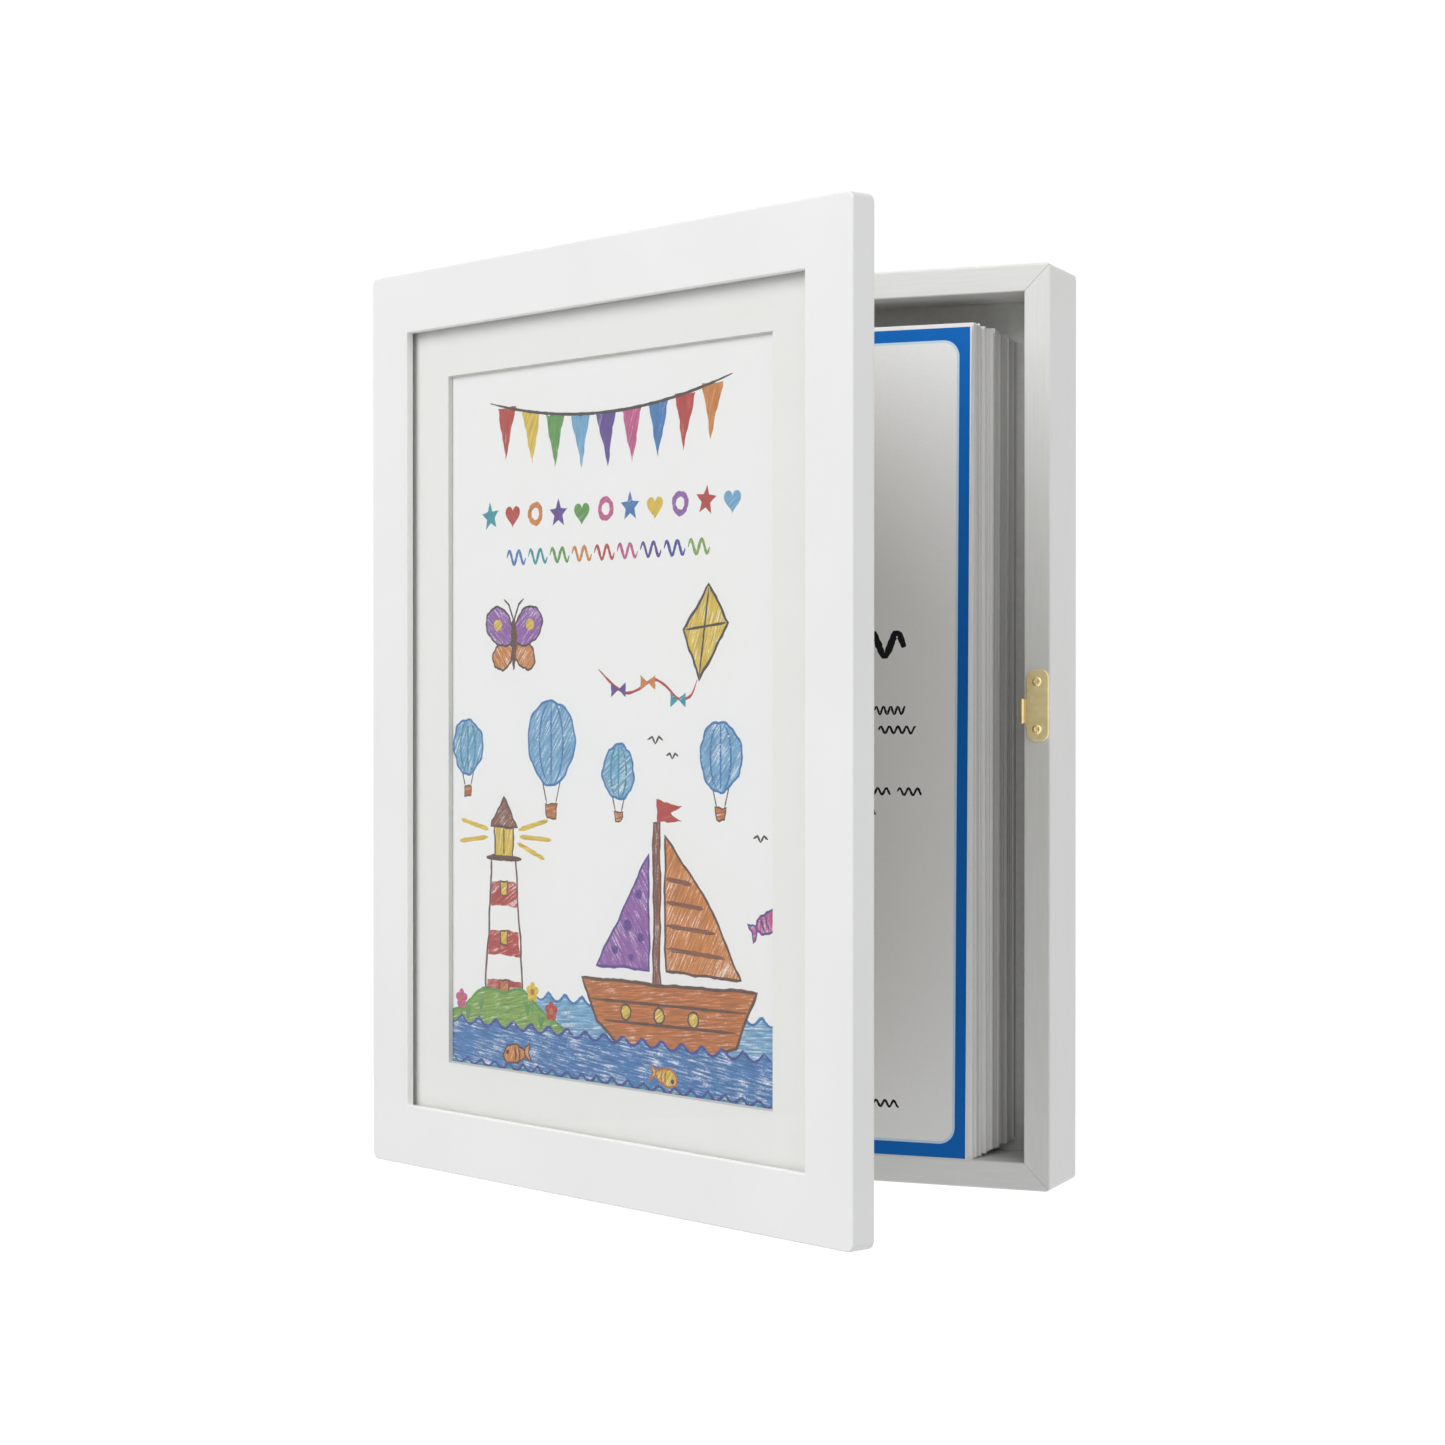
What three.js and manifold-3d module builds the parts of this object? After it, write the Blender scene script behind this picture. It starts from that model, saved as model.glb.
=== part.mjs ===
// A white front-opening frame for children's drawings. A picture door with a mat behind clear
// glazing is hinged on the left side of a mitred box that stores a pile of drawing paper.
// Millimetres, X to the right, Y into the wall, Z up. The door stands ajar, as it is shown.

import * as THREE from 'three';
import { mergeVertices } from 'three/addons/utils/BufferGeometryUtils.js';
import Module from 'manifold-3d';

const wasm = await Module();
wasm.setup();

// Stored paper, which sets the inside of the box
const paperWidth = 210;
const paperHeight = 297;
const paperSideRoom = 27.2;
const paperHeadRoom = 10.9;
const coverThickness = 0.3;
const coverInset = 0.4;
const coverSideShare = 0.272;
const bundleCount = 7;
const bundleFanShare = 0.294;

// Box
const rimWidth = 9.4;
const boxDepth = 33;
const boxEdgeRadius = 0.8;
const panelThickness = 2.5;
const panelRecess = 3;
const panelRebateShare = 0.5;

// Door
const doorOverlap = 4.5;
const doorRaise = 2.5;
const doorThickness = 10;
const doorFaceWidth = 22.5;
const doorOuterRadius = 0.9;
const doorInnerRadius = 0.8;
const lipDepthShare = 0.25;
const lipWidth = 6;
const seamGap = 2.6;
const doorOpenDegrees = 26;

// Picture layers in the door, front to back
const glazingThickness = 1.5;
const matThickness = 1.4;
const matSideReveal = 20.2;
const matEndReveal = 17.6;
const printThickness = 0.3;
const backingRecess = 0.1;

// Hinges
const hingeHeight = 26;
const hingeEndDistance = 50;
const knuckleRadius = 1.8;
const knuckleGap = 0.2;
const knuckleSideClearance = 0.4;
const middleKnuckleShare = 0.38;
const hingePinShare = 0.47;
const hingePinHeadShare = 0.78;
const hingePinHeadHeight = 0.5;
const hingePinClearance = 0.1;
const leafInnerMargin = 0.7;
const leafScrewSpacing = 17;

// Catch: a strike plate on the box and a spring clip on the door
const strikeHeightAboveCentre = 7.8;
const strikeLength = 25;
const strikeThickness = 0.8;
const strikeMargin = 0.6;
const strikeInnerCornerRadius = 3.7;
const strikeOuterCornerRadius = 1.9;
const strikeScrewSpacing = 16.8;
const strikeBeadRadius = 0.7;
const strikeBeadReach = 0.85;
const strikeBeadHeight = 0.6;
const strikeBeadLength = 8.2;
const strikeWebThickness = 0.4;
const clipWidth = 8;
const clipBaseShare = 0.65;
const tongueThickness = 0.5;
const tongueLength = 6.2;
const tongueBendShare = 0.5;
const tongueBulgeShare = 0.7;
const tongueBulge = 0.8;
const tongueClearance = 0.35;

// Turn buttons on the back of the door
const buttonThickness = 0.8;
const buttonPivotShare = 0.82;
const buttonLength = 10.5;
const buttonRadius = 4.2;
const buttonTipShare = 0.7;
const buttonEndDistance = 98;

// Hangers on the back panel
const hangerLength = 46;
const hangerHeight = 10;
const hangerThickness = 0.7;
const hangerRiseShare = 0.33;
const hangerFootLength = 8;
const hangerRampLength = 2;
const hangerToothCount = 9;
const hangerToothDepth = 1.6;
const hangerEdgeDistance = 24;

// Screws and nails
const screwShankRadius = 1;
const roundHeadShare = 2.2;
const roundHeadHeight = 1;
const lowHeadHeight = 0.8;
const flatHeadShare = 1.8;
const flatHeadDepthShare = 0.55;
const strikeScrewLength = 9;
const leafScrewLength = 8;
const clipScrewLength = 6;
const buttonScrewLength = 7;
const panelScrewLength = 11;
const screwPointLength = 1.4;
const screwPointShare = 0.25;
const slotLengthShare = 1.2;
const slotWidth = 0.5;
const slotDepth = 0.35;
const nailHeadShare = 2.3;
const nailHeadHeight = 0.6;
const nailShankRadius = 0.7;
const nailEndGap = 0.4;
const roundSides = 14;
const knuckleSides = 20;
const edgeSegments = 4;

// Clearances: between faces that rest on each other, and round a shank in its hole
const faceGap = 0.1;
const seatGap = 0.3;
const holeClearance = 0.3;
const overrun = 1;

// Sizes worked out from the ones above
const degree = Math.PI / 180;
const halfPi = Math.PI / 2;
const panelRebateWidth = rimWidth * panelRebateShare;
const wallLandWidth = rimWidth - panelRebateWidth;
const lipDepth = doorThickness * lipDepthShare;
const innerWidth = paperWidth + paperSideRoom;
const innerHeight = seatGap + paperHeight + paperHeadRoom;
const boxWidth = innerWidth + 2 * rimWidth;
const boxHeight = innerHeight + 2 * rimWidth;
const doorWidth = boxWidth + 2 * doorOverlap;
const doorHeight = boxHeight + 2 * doorOverlap;
const boxFrontY = -boxDepth;
const panelRearY = -panelRecess;
const panelFrontY = panelRearY - panelThickness;
const doorRearY = boxFrontY - seamGap;
const doorFrontY = doorRearY - doorThickness;
const openingWidth = doorWidth - 2 * doorFaceWidth;
const openingHeight = doorHeight - 2 * doorFaceWidth;
const leafThickness = (seamGap - faceGap - 2 * seatGap) / 2;
const flatHeadDepth = leafThickness * flatHeadDepthShare;
const clipBaseThickness = leafThickness * clipBaseShare;
const roundHeadRadius = screwShankRadius * roundHeadShare;
const flatHeadRadius = screwShankRadius * flatHeadShare;
const nailHeadRadius = nailShankRadius * nailHeadShare;
const hingePinRadius = knuckleRadius * hingePinShare;
const hingePinHeadRadius = knuckleRadius * hingePinHeadShare;
const buttonPivotInset = (doorFaceWidth - lipWidth) * buttonPivotShare;
const buttonTipRadius = buttonRadius * buttonTipShare;
const hangerRise = panelRecess * hangerRiseShare;
const hingeX = -boxWidth / 2 - knuckleRadius - knuckleSideClearance;
const hingeY = doorRearY + seatGap + knuckleRadius;
const hingeZ = boxHeight / 2 - hingeEndDistance;
const hardwareRearY = doorRearY + seatGap;
const rimCentreX = boxWidth / 2 - rimWidth / 2;

const paint = new THREE.MeshStandardMaterial({ color: 0xebebe9, roughness: 0.45, metalness: 0 });
const brass = new THREE.MeshStandardMaterial({ color: 0xb8a46c, roughness: 0.32, metalness: 1 });
const zinc = new THREE.MeshStandardMaterial({ color: 0xb9bcc0, roughness: 0.38, metalness: 1 });
const hardboard = new THREE.MeshStandardMaterial({ color: 0x7d6650, roughness: 0.8, metalness: 0 });
const backboard = new THREE.MeshStandardMaterial({ color: 0x8a7258, roughness: 0.85, metalness: 0 });
const acrylic = new THREE.MeshStandardMaterial({ color: 0xf4f8f8, roughness: 0.06, metalness: 0 });
const matCard = new THREE.MeshStandardMaterial({ color: 0xe9e9e4, roughness: 0.9, metalness: 0 });
const paper = new THREE.MeshStandardMaterial({ color: 0xf2f1ee, roughness: 0.85, metalness: 0 });
const coverPaper = new THREE.MeshStandardMaterial({ color: 0x2277c8, roughness: 0.6, metalness: 0 });

acrylic.transparent = true;
acrylic.opacity = 0.35;

// Joining and cutting of closed solids

function solidOf(geometry) {
  const plain = geometry.index ? geometry.toNonIndexed() : geometry.clone();
  plain.deleteAttribute('normal');
  plain.deleteAttribute('uv');
  const merged = mergeVertices(plain);
  const vertProperties = new Float32Array(merged.getAttribute('position').array);
  const triVerts = new Uint32Array(merged.index.array);
  return new wasm.Manifold(new wasm.Mesh({ numProp: 3, vertProperties, triVerts }));
}

function geometryOf(solid) {
  const mesh = solid.getMesh();
  const geometry = new THREE.BufferGeometry();
  geometry.setAttribute('position', new THREE.BufferAttribute(mesh.vertProperties, 3));
  geometry.setIndex(new THREE.BufferAttribute(mesh.triVerts, 1));
  const flat = geometry.toNonIndexed();
  flat.computeVertexNormals();
  return flat;
}

function cut(geometry, tools) {
  let solid = solidOf(geometry);
  for (const tool of tools) {
    solid = solid.subtract(solidOf(tool));
  }
  return geometryOf(solid);
}

function join(geometries) {
  let solid = solidOf(geometries[0]);
  for (const geometry of geometries.slice(1)) {
    solid = solid.add(solidOf(geometry));
  }
  return geometryOf(solid);
}

// Simple solids, placed by their limits

function block(x0, x1, y0, y1, z0, z1) {
  const geometry = new THREE.BoxGeometry(x1 - x0, y1 - y0, z1 - z0);
  geometry.translate((x0 + x1) / 2, (y0 + y1) / 2, (z0 + z1) / 2);
  return geometry;
}

function rodAlongY(radius, x, y0, y1, z, sides = roundSides) {
  const geometry = new THREE.CylinderGeometry(radius, radius, y1 - y0, sides);
  geometry.translate(x, (y0 + y1) / 2, z);
  return geometry;
}

function rodAlongZ(radius, x, y, z0, z1, sides = knuckleSides) {
  const geometry = new THREE.CylinderGeometry(radius, radius, z1 - z0, sides);
  geometry.rotateX(halfPi);
  geometry.translate(x, y, (z0 + z1) / 2);
  return geometry;
}

// A plate whose outline is drawn in X and Z and whose thickness runs along Y
function plateAcrossY(shape, y0, thickness) {
  const options = { depth: thickness, bevelEnabled: false, curveSegments: edgeSegments };
  const geometry = new THREE.ExtrudeGeometry(shape, options);
  geometry.rotateX(halfPi);
  geometry.translate(0, y0 + thickness, 0);
  return geometry;
}

// A rectangle with one corner radius on its left and another on its right
function roundedOutline(x0, x1, z0, z1, leftRadius, rightRadius) {
  const shape = new THREE.Shape();
  shape.absarc(x0 + leftRadius, z0 + leftRadius, leftRadius, -2 * halfPi, -halfPi);
  shape.absarc(x1 - rightRadius, z0 + rightRadius, rightRadius, -halfPi, 0);
  shape.absarc(x1 - rightRadius, z1 - rightRadius, rightRadius, 0, halfPi);
  shape.absarc(x0 + leftRadius, z1 - leftRadius, leftRadius, halfPi, 2 * halfPi);
  return shape;
}

// Mitred rails: the section is drawn inward from the outer edge and back from the front face

const inwardOf = {
  top: new THREE.Vector3(0, 0, -1),
  bottom: new THREE.Vector3(0, 0, 1),
  left: new THREE.Vector3(1, 0, 0),
  right: new THREE.Vector3(-1, 0, 0),
};

function mitredRail(section, side, width, height, frontY, gap) {
  const upright = side === 'left' || side === 'right';
  const length = upright ? height : width;
  const reach = (upright ? width : height) / 2;
  const options = { depth: length, bevelEnabled: false, curveSegments: edgeSegments };
  const geometry = new THREE.ExtrudeGeometry(section, options);
  const position = geometry.getAttribute('position');
  for (let i = 0; i < position.count; i += 1) {
    const end = position.getZ(i) > length / 2 ? 1 : -1;
    position.setZ(i, end * (length / 2 - position.getX(i) - gap / 2));
  }
  const inward = inwardOf[side];
  const back = new THREE.Vector3(0, 1, 0);
  const along = new THREE.Vector3().crossVectors(inward, back);
  const placing = new THREE.Matrix4().makeBasis(inward, back, along);
  placing.setPosition(inward.clone().multiplyScalar(-reach).setY(frontY));
  geometry.applyMatrix4(placing);
  return geometry;
}

function boxSection() {
  const shoulder = boxDepth - panelRecess - panelThickness - faceGap;
  const shape = new THREE.Shape();
  shape.absarc(boxEdgeRadius, boxEdgeRadius, boxEdgeRadius, 2 * halfPi, 3 * halfPi);
  shape.absarc(rimWidth - boxEdgeRadius, boxEdgeRadius, boxEdgeRadius, 3 * halfPi, 4 * halfPi);
  shape.lineTo(rimWidth, shoulder);
  shape.lineTo(rimWidth - panelRebateWidth, shoulder);
  shape.lineTo(rimWidth - panelRebateWidth, boxDepth);
  shape.lineTo(0, boxDepth);
  return shape;
}

function doorSection() {
  const shape = new THREE.Shape();
  shape.absarc(doorOuterRadius, doorOuterRadius, doorOuterRadius, 2 * halfPi, 3 * halfPi);
  const innerCentre = doorFaceWidth - doorInnerRadius;
  shape.absarc(innerCentre, doorInnerRadius, doorInnerRadius, 3 * halfPi, 4 * halfPi);
  shape.lineTo(doorFaceWidth, lipDepth);
  shape.lineTo(doorFaceWidth - lipWidth, lipDepth);
  shape.lineTo(doorFaceWidth - lipWidth, doorThickness);
  shape.lineTo(0, doorThickness);
  return shape;
}

// Screws and nails stand along Y with the head outward, and the seat under the head at zero

function crossSlotted(geometry, topY, slotLength) {
  const halfWidth = slotWidth / 2;
  const halfLength = slotLength / 2;
  const bottomY = topY - slotDepth;
  const mouthY = topY + overrun;
  return cut(geometry, [
    block(-halfLength, halfLength, bottomY, mouthY, -halfWidth, halfWidth),
    block(-halfWidth, halfWidth, bottomY, mouthY, -halfLength, halfLength),
  ]);
}

function shankProfile(radius, length) {
  return [
    new THREE.Vector2(0, -length),
    new THREE.Vector2(radius * screwPointShare, -length),
    new THREE.Vector2(radius, -length + screwPointLength),
  ];
}

function domeProfile(radius, height) {
  const points = [];
  for (let step = 0; step <= edgeSegments; step += 1) {
    const angle = (halfPi * step) / edgeSegments;
    points.push(new THREE.Vector2(radius * Math.cos(angle), height * Math.sin(angle)));
  }
  points[edgeSegments].x = 0;
  return points;
}

function roundScrew(headHeight, length) {
  const profile = shankProfile(screwShankRadius, length);
  profile.push(new THREE.Vector2(screwShankRadius, 0));
  profile.push(...domeProfile(roundHeadRadius, headHeight));
  const screw = new THREE.LatheGeometry(profile, roundSides);
  return crossSlotted(screw, headHeight, slotLengthShare * roundHeadRadius);
}

function flatScrew(length) {
  const profile = shankProfile(screwShankRadius, length);
  profile.push(new THREE.Vector2(screwShankRadius, -flatHeadDepth));
  profile.push(new THREE.Vector2(flatHeadRadius, 0));
  profile.push(new THREE.Vector2(0, 0));
  const screw = new THREE.LatheGeometry(profile, roundSides);
  return crossSlotted(screw, 0, slotLengthShare * flatHeadRadius);
}

function nail(length) {
  const profile = [
    new THREE.Vector2(0, -length),
    new THREE.Vector2(nailShankRadius, -length),
    new THREE.Vector2(nailShankRadius, 0),
    ...domeProfile(nailHeadRadius, nailHeadHeight),
  ];
  return new THREE.LatheGeometry(profile, roundSides);
}

// A fastener put in its place: facing +1 heads look back along Y, facing -1 heads look forward
function fastenerAt(geometry, x, y, z, facing) {
  const placed = geometry.clone();
  if (facing < 0) {
    placed.rotateX(2 * halfPi);
  }
  placed.translate(x, y, z);
  return placed;
}

// The hole for a screw seated at y, deep enough for its shank
function pilotHole(x, y, z, facing, length, radius = screwShankRadius) {
  const deep = y - facing * (length + holeClearance);
  const mouth = y + facing * overrun;
  return rodAlongY(radius + holeClearance, x, Math.min(deep, mouth), Math.max(deep, mouth), z);
}

// The dished hole in a plate for a flat screw whose head ends at face
function dishedHole(x, face, z, facing, thickness) {
  const through = screwShankRadius + holeClearance;
  const rim = flatHeadRadius + holeClearance;
  const profile = [
    new THREE.Vector2(0, -thickness - overrun),
    new THREE.Vector2(through, -thickness - overrun),
    new THREE.Vector2(through, -flatHeadDepth),
    new THREE.Vector2(rim, 0),
    new THREE.Vector2(rim, overrun),
    new THREE.Vector2(0, overrun),
  ];
  return fastenerAt(new THREE.LatheGeometry(profile, roundSides), x, face, z, facing);
}

// Groups: everything hangs from the top rail's rear face, where the wall is met

const artFrame = new THREE.Group();
artFrame.position.z = -(boxHeight - wallLandWidth) / 2;

const box = new THREE.Group();
artFrame.add(box);

const door = new THREE.Group();
door.position.set(hingeX, hingeY, doorRaise);
door.rotation.z = -doorOpenDegrees * degree;
artFrame.add(door);

// Door pieces are written as if the door were shut, then turned with it about the hinge
const shutDoor = new THREE.Group();
shutDoor.position.set(-hingeX, -hingeY, 0);
door.add(shutDoor);

function addPiece(group, name, geometry, material) {
  const mesh = new THREE.Mesh(geometry, material);
  mesh.name = name;
  group.add(mesh);
}

const railSides = Object.keys(inwardOf);

// Places of the fasteners

const leafScrewX = hingeX + knuckleRadius + seatGap + (rimWidth - leafInnerMargin) / 2;
const leafScrewZs = [leafScrewSpacing / 2, -leafScrewSpacing / 2];
const hingePlaces = [
  { label: 'upper', z: hingeZ },
  { label: 'lower', z: -hingeZ },
];
const strikeScrewZs = [
  strikeHeightAboveCentre + strikeScrewSpacing / 2,
  strikeHeightAboveCentre - strikeScrewSpacing / 2,
];
const buttonX = doorWidth / 2 - buttonPivotInset;
const buttonZ = doorHeight / 2 - buttonEndDistance;
const buttonPlaces = [
  { label: 'upper_left', x: -buttonX, z: buttonZ, inward: 1 },
  { label: 'lower_left', x: -buttonX, z: -buttonZ, inward: 1 },
  { label: 'upper_right', x: buttonX, z: buttonZ, inward: -1 },
  { label: 'lower_right', x: buttonX, z: -buttonZ, inward: -1 },
];
const panelScrewInset = rimWidth - panelRebateWidth / 2;
const panelScrewPlaces = {
  top: [0, boxHeight / 2 - panelScrewInset],
  bottom: [0, -boxHeight / 2 + panelScrewInset],
  left: [-boxWidth / 2 + panelScrewInset, 0],
  right: [boxWidth / 2 - panelScrewInset, 0],
};

// Box: four mitred rails with a rebate for the back panel

function addBoxRails() {
  const holes = { top: [], bottom: [], left: [], right: [] };
  for (const side of railSides) {
    const [x, z] = panelScrewPlaces[side];
    holes[side].push(pilotHole(x, panelRearY, z, 1, panelScrewLength));
  }
  const leafFace = boxFrontY - faceGap - leafThickness;
  for (const hinge of hingePlaces) {
    for (const dz of leafScrewZs) {
      holes.left.push(pilotHole(leafScrewX, leafFace, hinge.z + dz, -1, leafScrewLength));
    }
  }
  for (const z of strikeScrewZs) {
    const seat = boxFrontY - faceGap - strikeThickness;
    holes.right.push(pilotHole(rimCentreX, seat, z, -1, strikeScrewLength));
  }
  for (const side of railSides) {
    const rail = mitredRail(boxSection(), side, boxWidth, boxHeight, boxFrontY, faceGap);
    addPiece(box, `box_${side}_rail`, cut(rail, holes[side]), paint);
  }
}

// Back panel with its screws and two saw-tooth hangers, one for each way of hanging

const hangerPlaces = [
  { label: 'portrait', x: 0, z: innerHeight / 2 - hangerEdgeDistance, turn: 0 },
  { label: 'landscape', x: innerWidth / 2 - hangerEdgeDistance, z: 0, turn: -halfPi },
];
const hangerNailReach = (hangerLength - hangerFootLength) / 2;
const hangerNailLength = hangerThickness + faceGap + panelThickness - nailEndGap;

function hangerNailSpots(place) {
  return [-1, 1].map((end) => ({
    x: place.x + end * hangerNailReach * Math.cos(place.turn),
    z: place.z + end * hangerNailReach * Math.sin(place.turn),
  }));
}

function addBackPanel() {
  const reach = panelRebateWidth - rimWidth - seatGap;
  const halfWidth = boxWidth / 2 + reach;
  const halfHeight = boxHeight / 2 + reach;
  const sheet = block(-halfWidth, halfWidth, panelFrontY, panelRearY, -halfHeight, halfHeight);
  const holes = railSides.map((side) => {
    const [x, z] = panelScrewPlaces[side];
    return pilotHole(x, panelRearY, z, 1, panelThickness + overrun);
  });
  for (const place of hangerPlaces) {
    for (const spot of hangerNailSpots(place)) {
      const depth = panelThickness + overrun;
      holes.push(pilotHole(spot.x, panelRearY, spot.z, 1, depth, nailShankRadius));
    }
  }
  addPiece(box, 'back_panel', cut(sheet, holes), hardboard);
  const screw = roundScrew(roundHeadHeight, panelScrewLength);
  for (const side of railSides) {
    const [x, z] = panelScrewPlaces[side];
    addPiece(box, `panel_screw_${side}`, fastenerAt(screw, x, panelRearY + faceGap, z, 1), zinc);
  }
}

// A strip with flat feet and a raised middle, its lower edge cut into teeth
function hangerGeometry() {
  const end = hangerLength / 2;
  const foot = end - hangerFootLength;
  const ramp = foot - hangerRampLength;
  const outline = [
    [-end, 0], [-foot, 0], [-ramp, hangerRise], [ramp, hangerRise], [foot, 0], [end, 0],
  ];
  const upper = outline.map(([x, y]) => new THREE.Vector2(x, y + hangerThickness)).reverse();
  const lower = outline.map(([x, y]) => new THREE.Vector2(x, y));
  const options = { depth: hangerHeight, bevelEnabled: false };
  const strip = new THREE.ExtrudeGeometry(new THREE.Shape([...lower, ...upper]), options);
  strip.translate(0, 0, -hangerHeight / 2);
  const pitch = (2 * ramp) / hangerToothCount;
  const teeth = new THREE.Shape();
  const edge = -hangerHeight / 2;
  teeth.moveTo(-ramp, edge - overrun);
  for (let tooth = 0; tooth < hangerToothCount; tooth += 1) {
    const x = -ramp + tooth * pitch;
    teeth.lineTo(x, edge);
    teeth.lineTo(x + pitch / 2, edge + hangerToothDepth);
  }
  teeth.lineTo(ramp, edge);
  teeth.lineTo(ramp, edge - overrun);
  const cutter = plateAcrossY(teeth, -overrun, hangerRise + hangerThickness + 2 * overrun);
  const nailHoles = [-1, 1].map((side) => {
    const depth = hangerThickness + overrun;
    return pilotHole(side * hangerNailReach, hangerThickness, 0, 1, depth, nailShankRadius);
  });
  return cut(strip, [cutter, ...nailHoles]);
}

function addHangers() {
  const seat = panelRearY + faceGap;
  for (const place of hangerPlaces) {
    const hanger = hangerGeometry();
    hanger.rotateY(-place.turn);
    hanger.translate(place.x, seat, place.z);
    addPiece(box, `hanger_${place.label}`, hanger, zinc);
    hangerNailSpots(place).forEach((spot, index) => {
      const placed = fastenerAt(nail(hangerNailLength), spot.x, 0, spot.z, 1);
      placed.translate(0, seat + hangerThickness + faceGap, 0);
      addPiece(box, `hanger_${place.label}_nail_${index + 1}`, placed, zinc);
    });
  }
}

// Strike plate: a plate with round corners and a rolled bead along the middle of its inner edge

function addStrikePlate() {
  const innerEdge = innerWidth / 2;
  const x0 = innerEdge + strikeMargin;
  const x1 = boxWidth / 2 - strikeMargin;
  const half = strikeLength / 2;
  const frontY = boxFrontY - faceGap - strikeThickness;
  const inner = strikeInnerCornerRadius;
  const outer = strikeOuterCornerRadius;
  const outline = roundedOutline(x0, x1, -half, half, inner, outer);
  const beadX = innerEdge - strikeBeadReach;
  const beadY = boxFrontY - strikeBeadHeight;
  const beadHalf = strikeBeadLength / 2;
  const webFront = boxFrontY - faceGap - strikeWebThickness;
  const webRear = boxFrontY - faceGap;
  const plate = join([
    plateAcrossY(outline, frontY, strikeThickness),
    block(beadX, x0 + overrun, webFront, webRear, -beadHalf, beadHalf),
    rodAlongZ(strikeBeadRadius, beadX, beadY, -beadHalf, beadHalf, roundSides),
  ]);
  plate.translate(0, 0, strikeHeightAboveCentre);
  const holes = strikeScrewZs.map((z) => pilotHole(rimCentreX, frontY, z, -1, strikeThickness + overrun));
  addPiece(box, 'strike_plate', cut(plate, holes), brass);
  const screw = roundScrew(roundHeadHeight, strikeScrewLength);
  strikeScrewZs.forEach((z, index) => {
    const placed = fastenerAt(screw, rimCentreX, frontY - faceGap, z, -1);
    addPiece(box, `strike_screw_${index + 1}`, placed, brass);
  });
}

// Butt hinges: the box leaf carries the two outer knuckles and the door leaf the middle one

function leafGeometry(frontY, knuckles) {
  const start = hingeX + knuckleRadius + seatGap;
  const end = -innerWidth / 2 - leafInnerMargin;
  const half = hingeHeight / 2;
  const rearY = frontY + leafThickness;
  const pieces = [block(start, end, frontY, rearY, -half, half)];
  for (const [z0, z1] of knuckles) {
    pieces.push(block(hingeX, start + overrun, frontY, rearY, z0, z1));
    pieces.push(rodAlongZ(knuckleRadius, hingeX, hingeY, z0, z1));
  }
  const boreRadius = hingePinRadius + hingePinClearance;
  const bore = rodAlongZ(boreRadius, hingeX, hingeY, -half - overrun, half + overrun);
  return cut(join(pieces), [bore]);
}

function hingePinGeometry() {
  const top = hingeHeight / 2 + faceGap;
  const headTop = top + hingePinHeadHeight;
  const profile = [
    new THREE.Vector2(0, -headTop),
    new THREE.Vector2(hingePinHeadRadius, -headTop),
    new THREE.Vector2(hingePinHeadRadius, -top),
    new THREE.Vector2(hingePinRadius, -top),
    new THREE.Vector2(hingePinRadius, top),
    new THREE.Vector2(hingePinHeadRadius, top),
    new THREE.Vector2(hingePinHeadRadius, headTop),
    new THREE.Vector2(0, headTop),
  ];
  const geometry = new THREE.LatheGeometry(profile, roundSides);
  geometry.rotateX(halfPi);
  return geometry;
}

function addHinges() {
  const half = hingeHeight / 2;
  const middle = (middleKnuckleShare * hingeHeight) / 2;
  const boxLeafFront = boxFrontY - faceGap - leafThickness;
  const doorLeafRear = hardwareRearY + leafThickness;
  const screw = flatScrew(leafScrewLength);
  for (const hinge of hingePlaces) {
    const boxKnuckles = [[-half, -middle - knuckleGap], [middle + knuckleGap, half]];
    const boxLeaf = leafGeometry(boxLeafFront, boxKnuckles);
    const boxHoles = leafScrewZs.map((z) => dishedHole(leafScrewX, boxLeafFront, z, -1, leafThickness));
    const fixedLeaf = cut(boxLeaf, boxHoles);
    fixedLeaf.translate(0, 0, hinge.z);
    addPiece(box, `hinge_${hinge.label}_box_leaf`, fixedLeaf, brass);

    const doorLeaf = leafGeometry(hardwareRearY, [[-middle, middle]]);
    const doorHoles = leafScrewZs.map((z) => dishedHole(leafScrewX, doorLeafRear, z, 1, leafThickness));
    const movingLeaf = cut(doorLeaf, doorHoles);
    movingLeaf.translate(0, 0, hinge.z - doorRaise);
    addPiece(shutDoor, `hinge_${hinge.label}_door_leaf`, movingLeaf, brass);

    const pin = hingePinGeometry();
    pin.translate(hingeX, hingeY, hinge.z);
    addPiece(box, `hinge_${hinge.label}_pin`, pin, brass);

    leafScrewZs.forEach((dz, index) => {
      const boxScrew = fastenerAt(screw, leafScrewX, boxLeafFront + faceGap / 2, hinge.z + dz, -1);
      addPiece(box, `hinge_${hinge.label}_box_screw_${index + 1}`, boxScrew, brass);
      const z = hinge.z + dz - doorRaise;
      const doorScrew = fastenerAt(screw, leafScrewX, doorLeafRear - faceGap / 2, z, 1);
      addPiece(shutDoor, `hinge_${hinge.label}_door_screw_${index + 1}`, doorScrew, brass);
    });
  }
}

// Paper: a bordered cover sheet in front of bundles that fan out to the right

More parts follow.
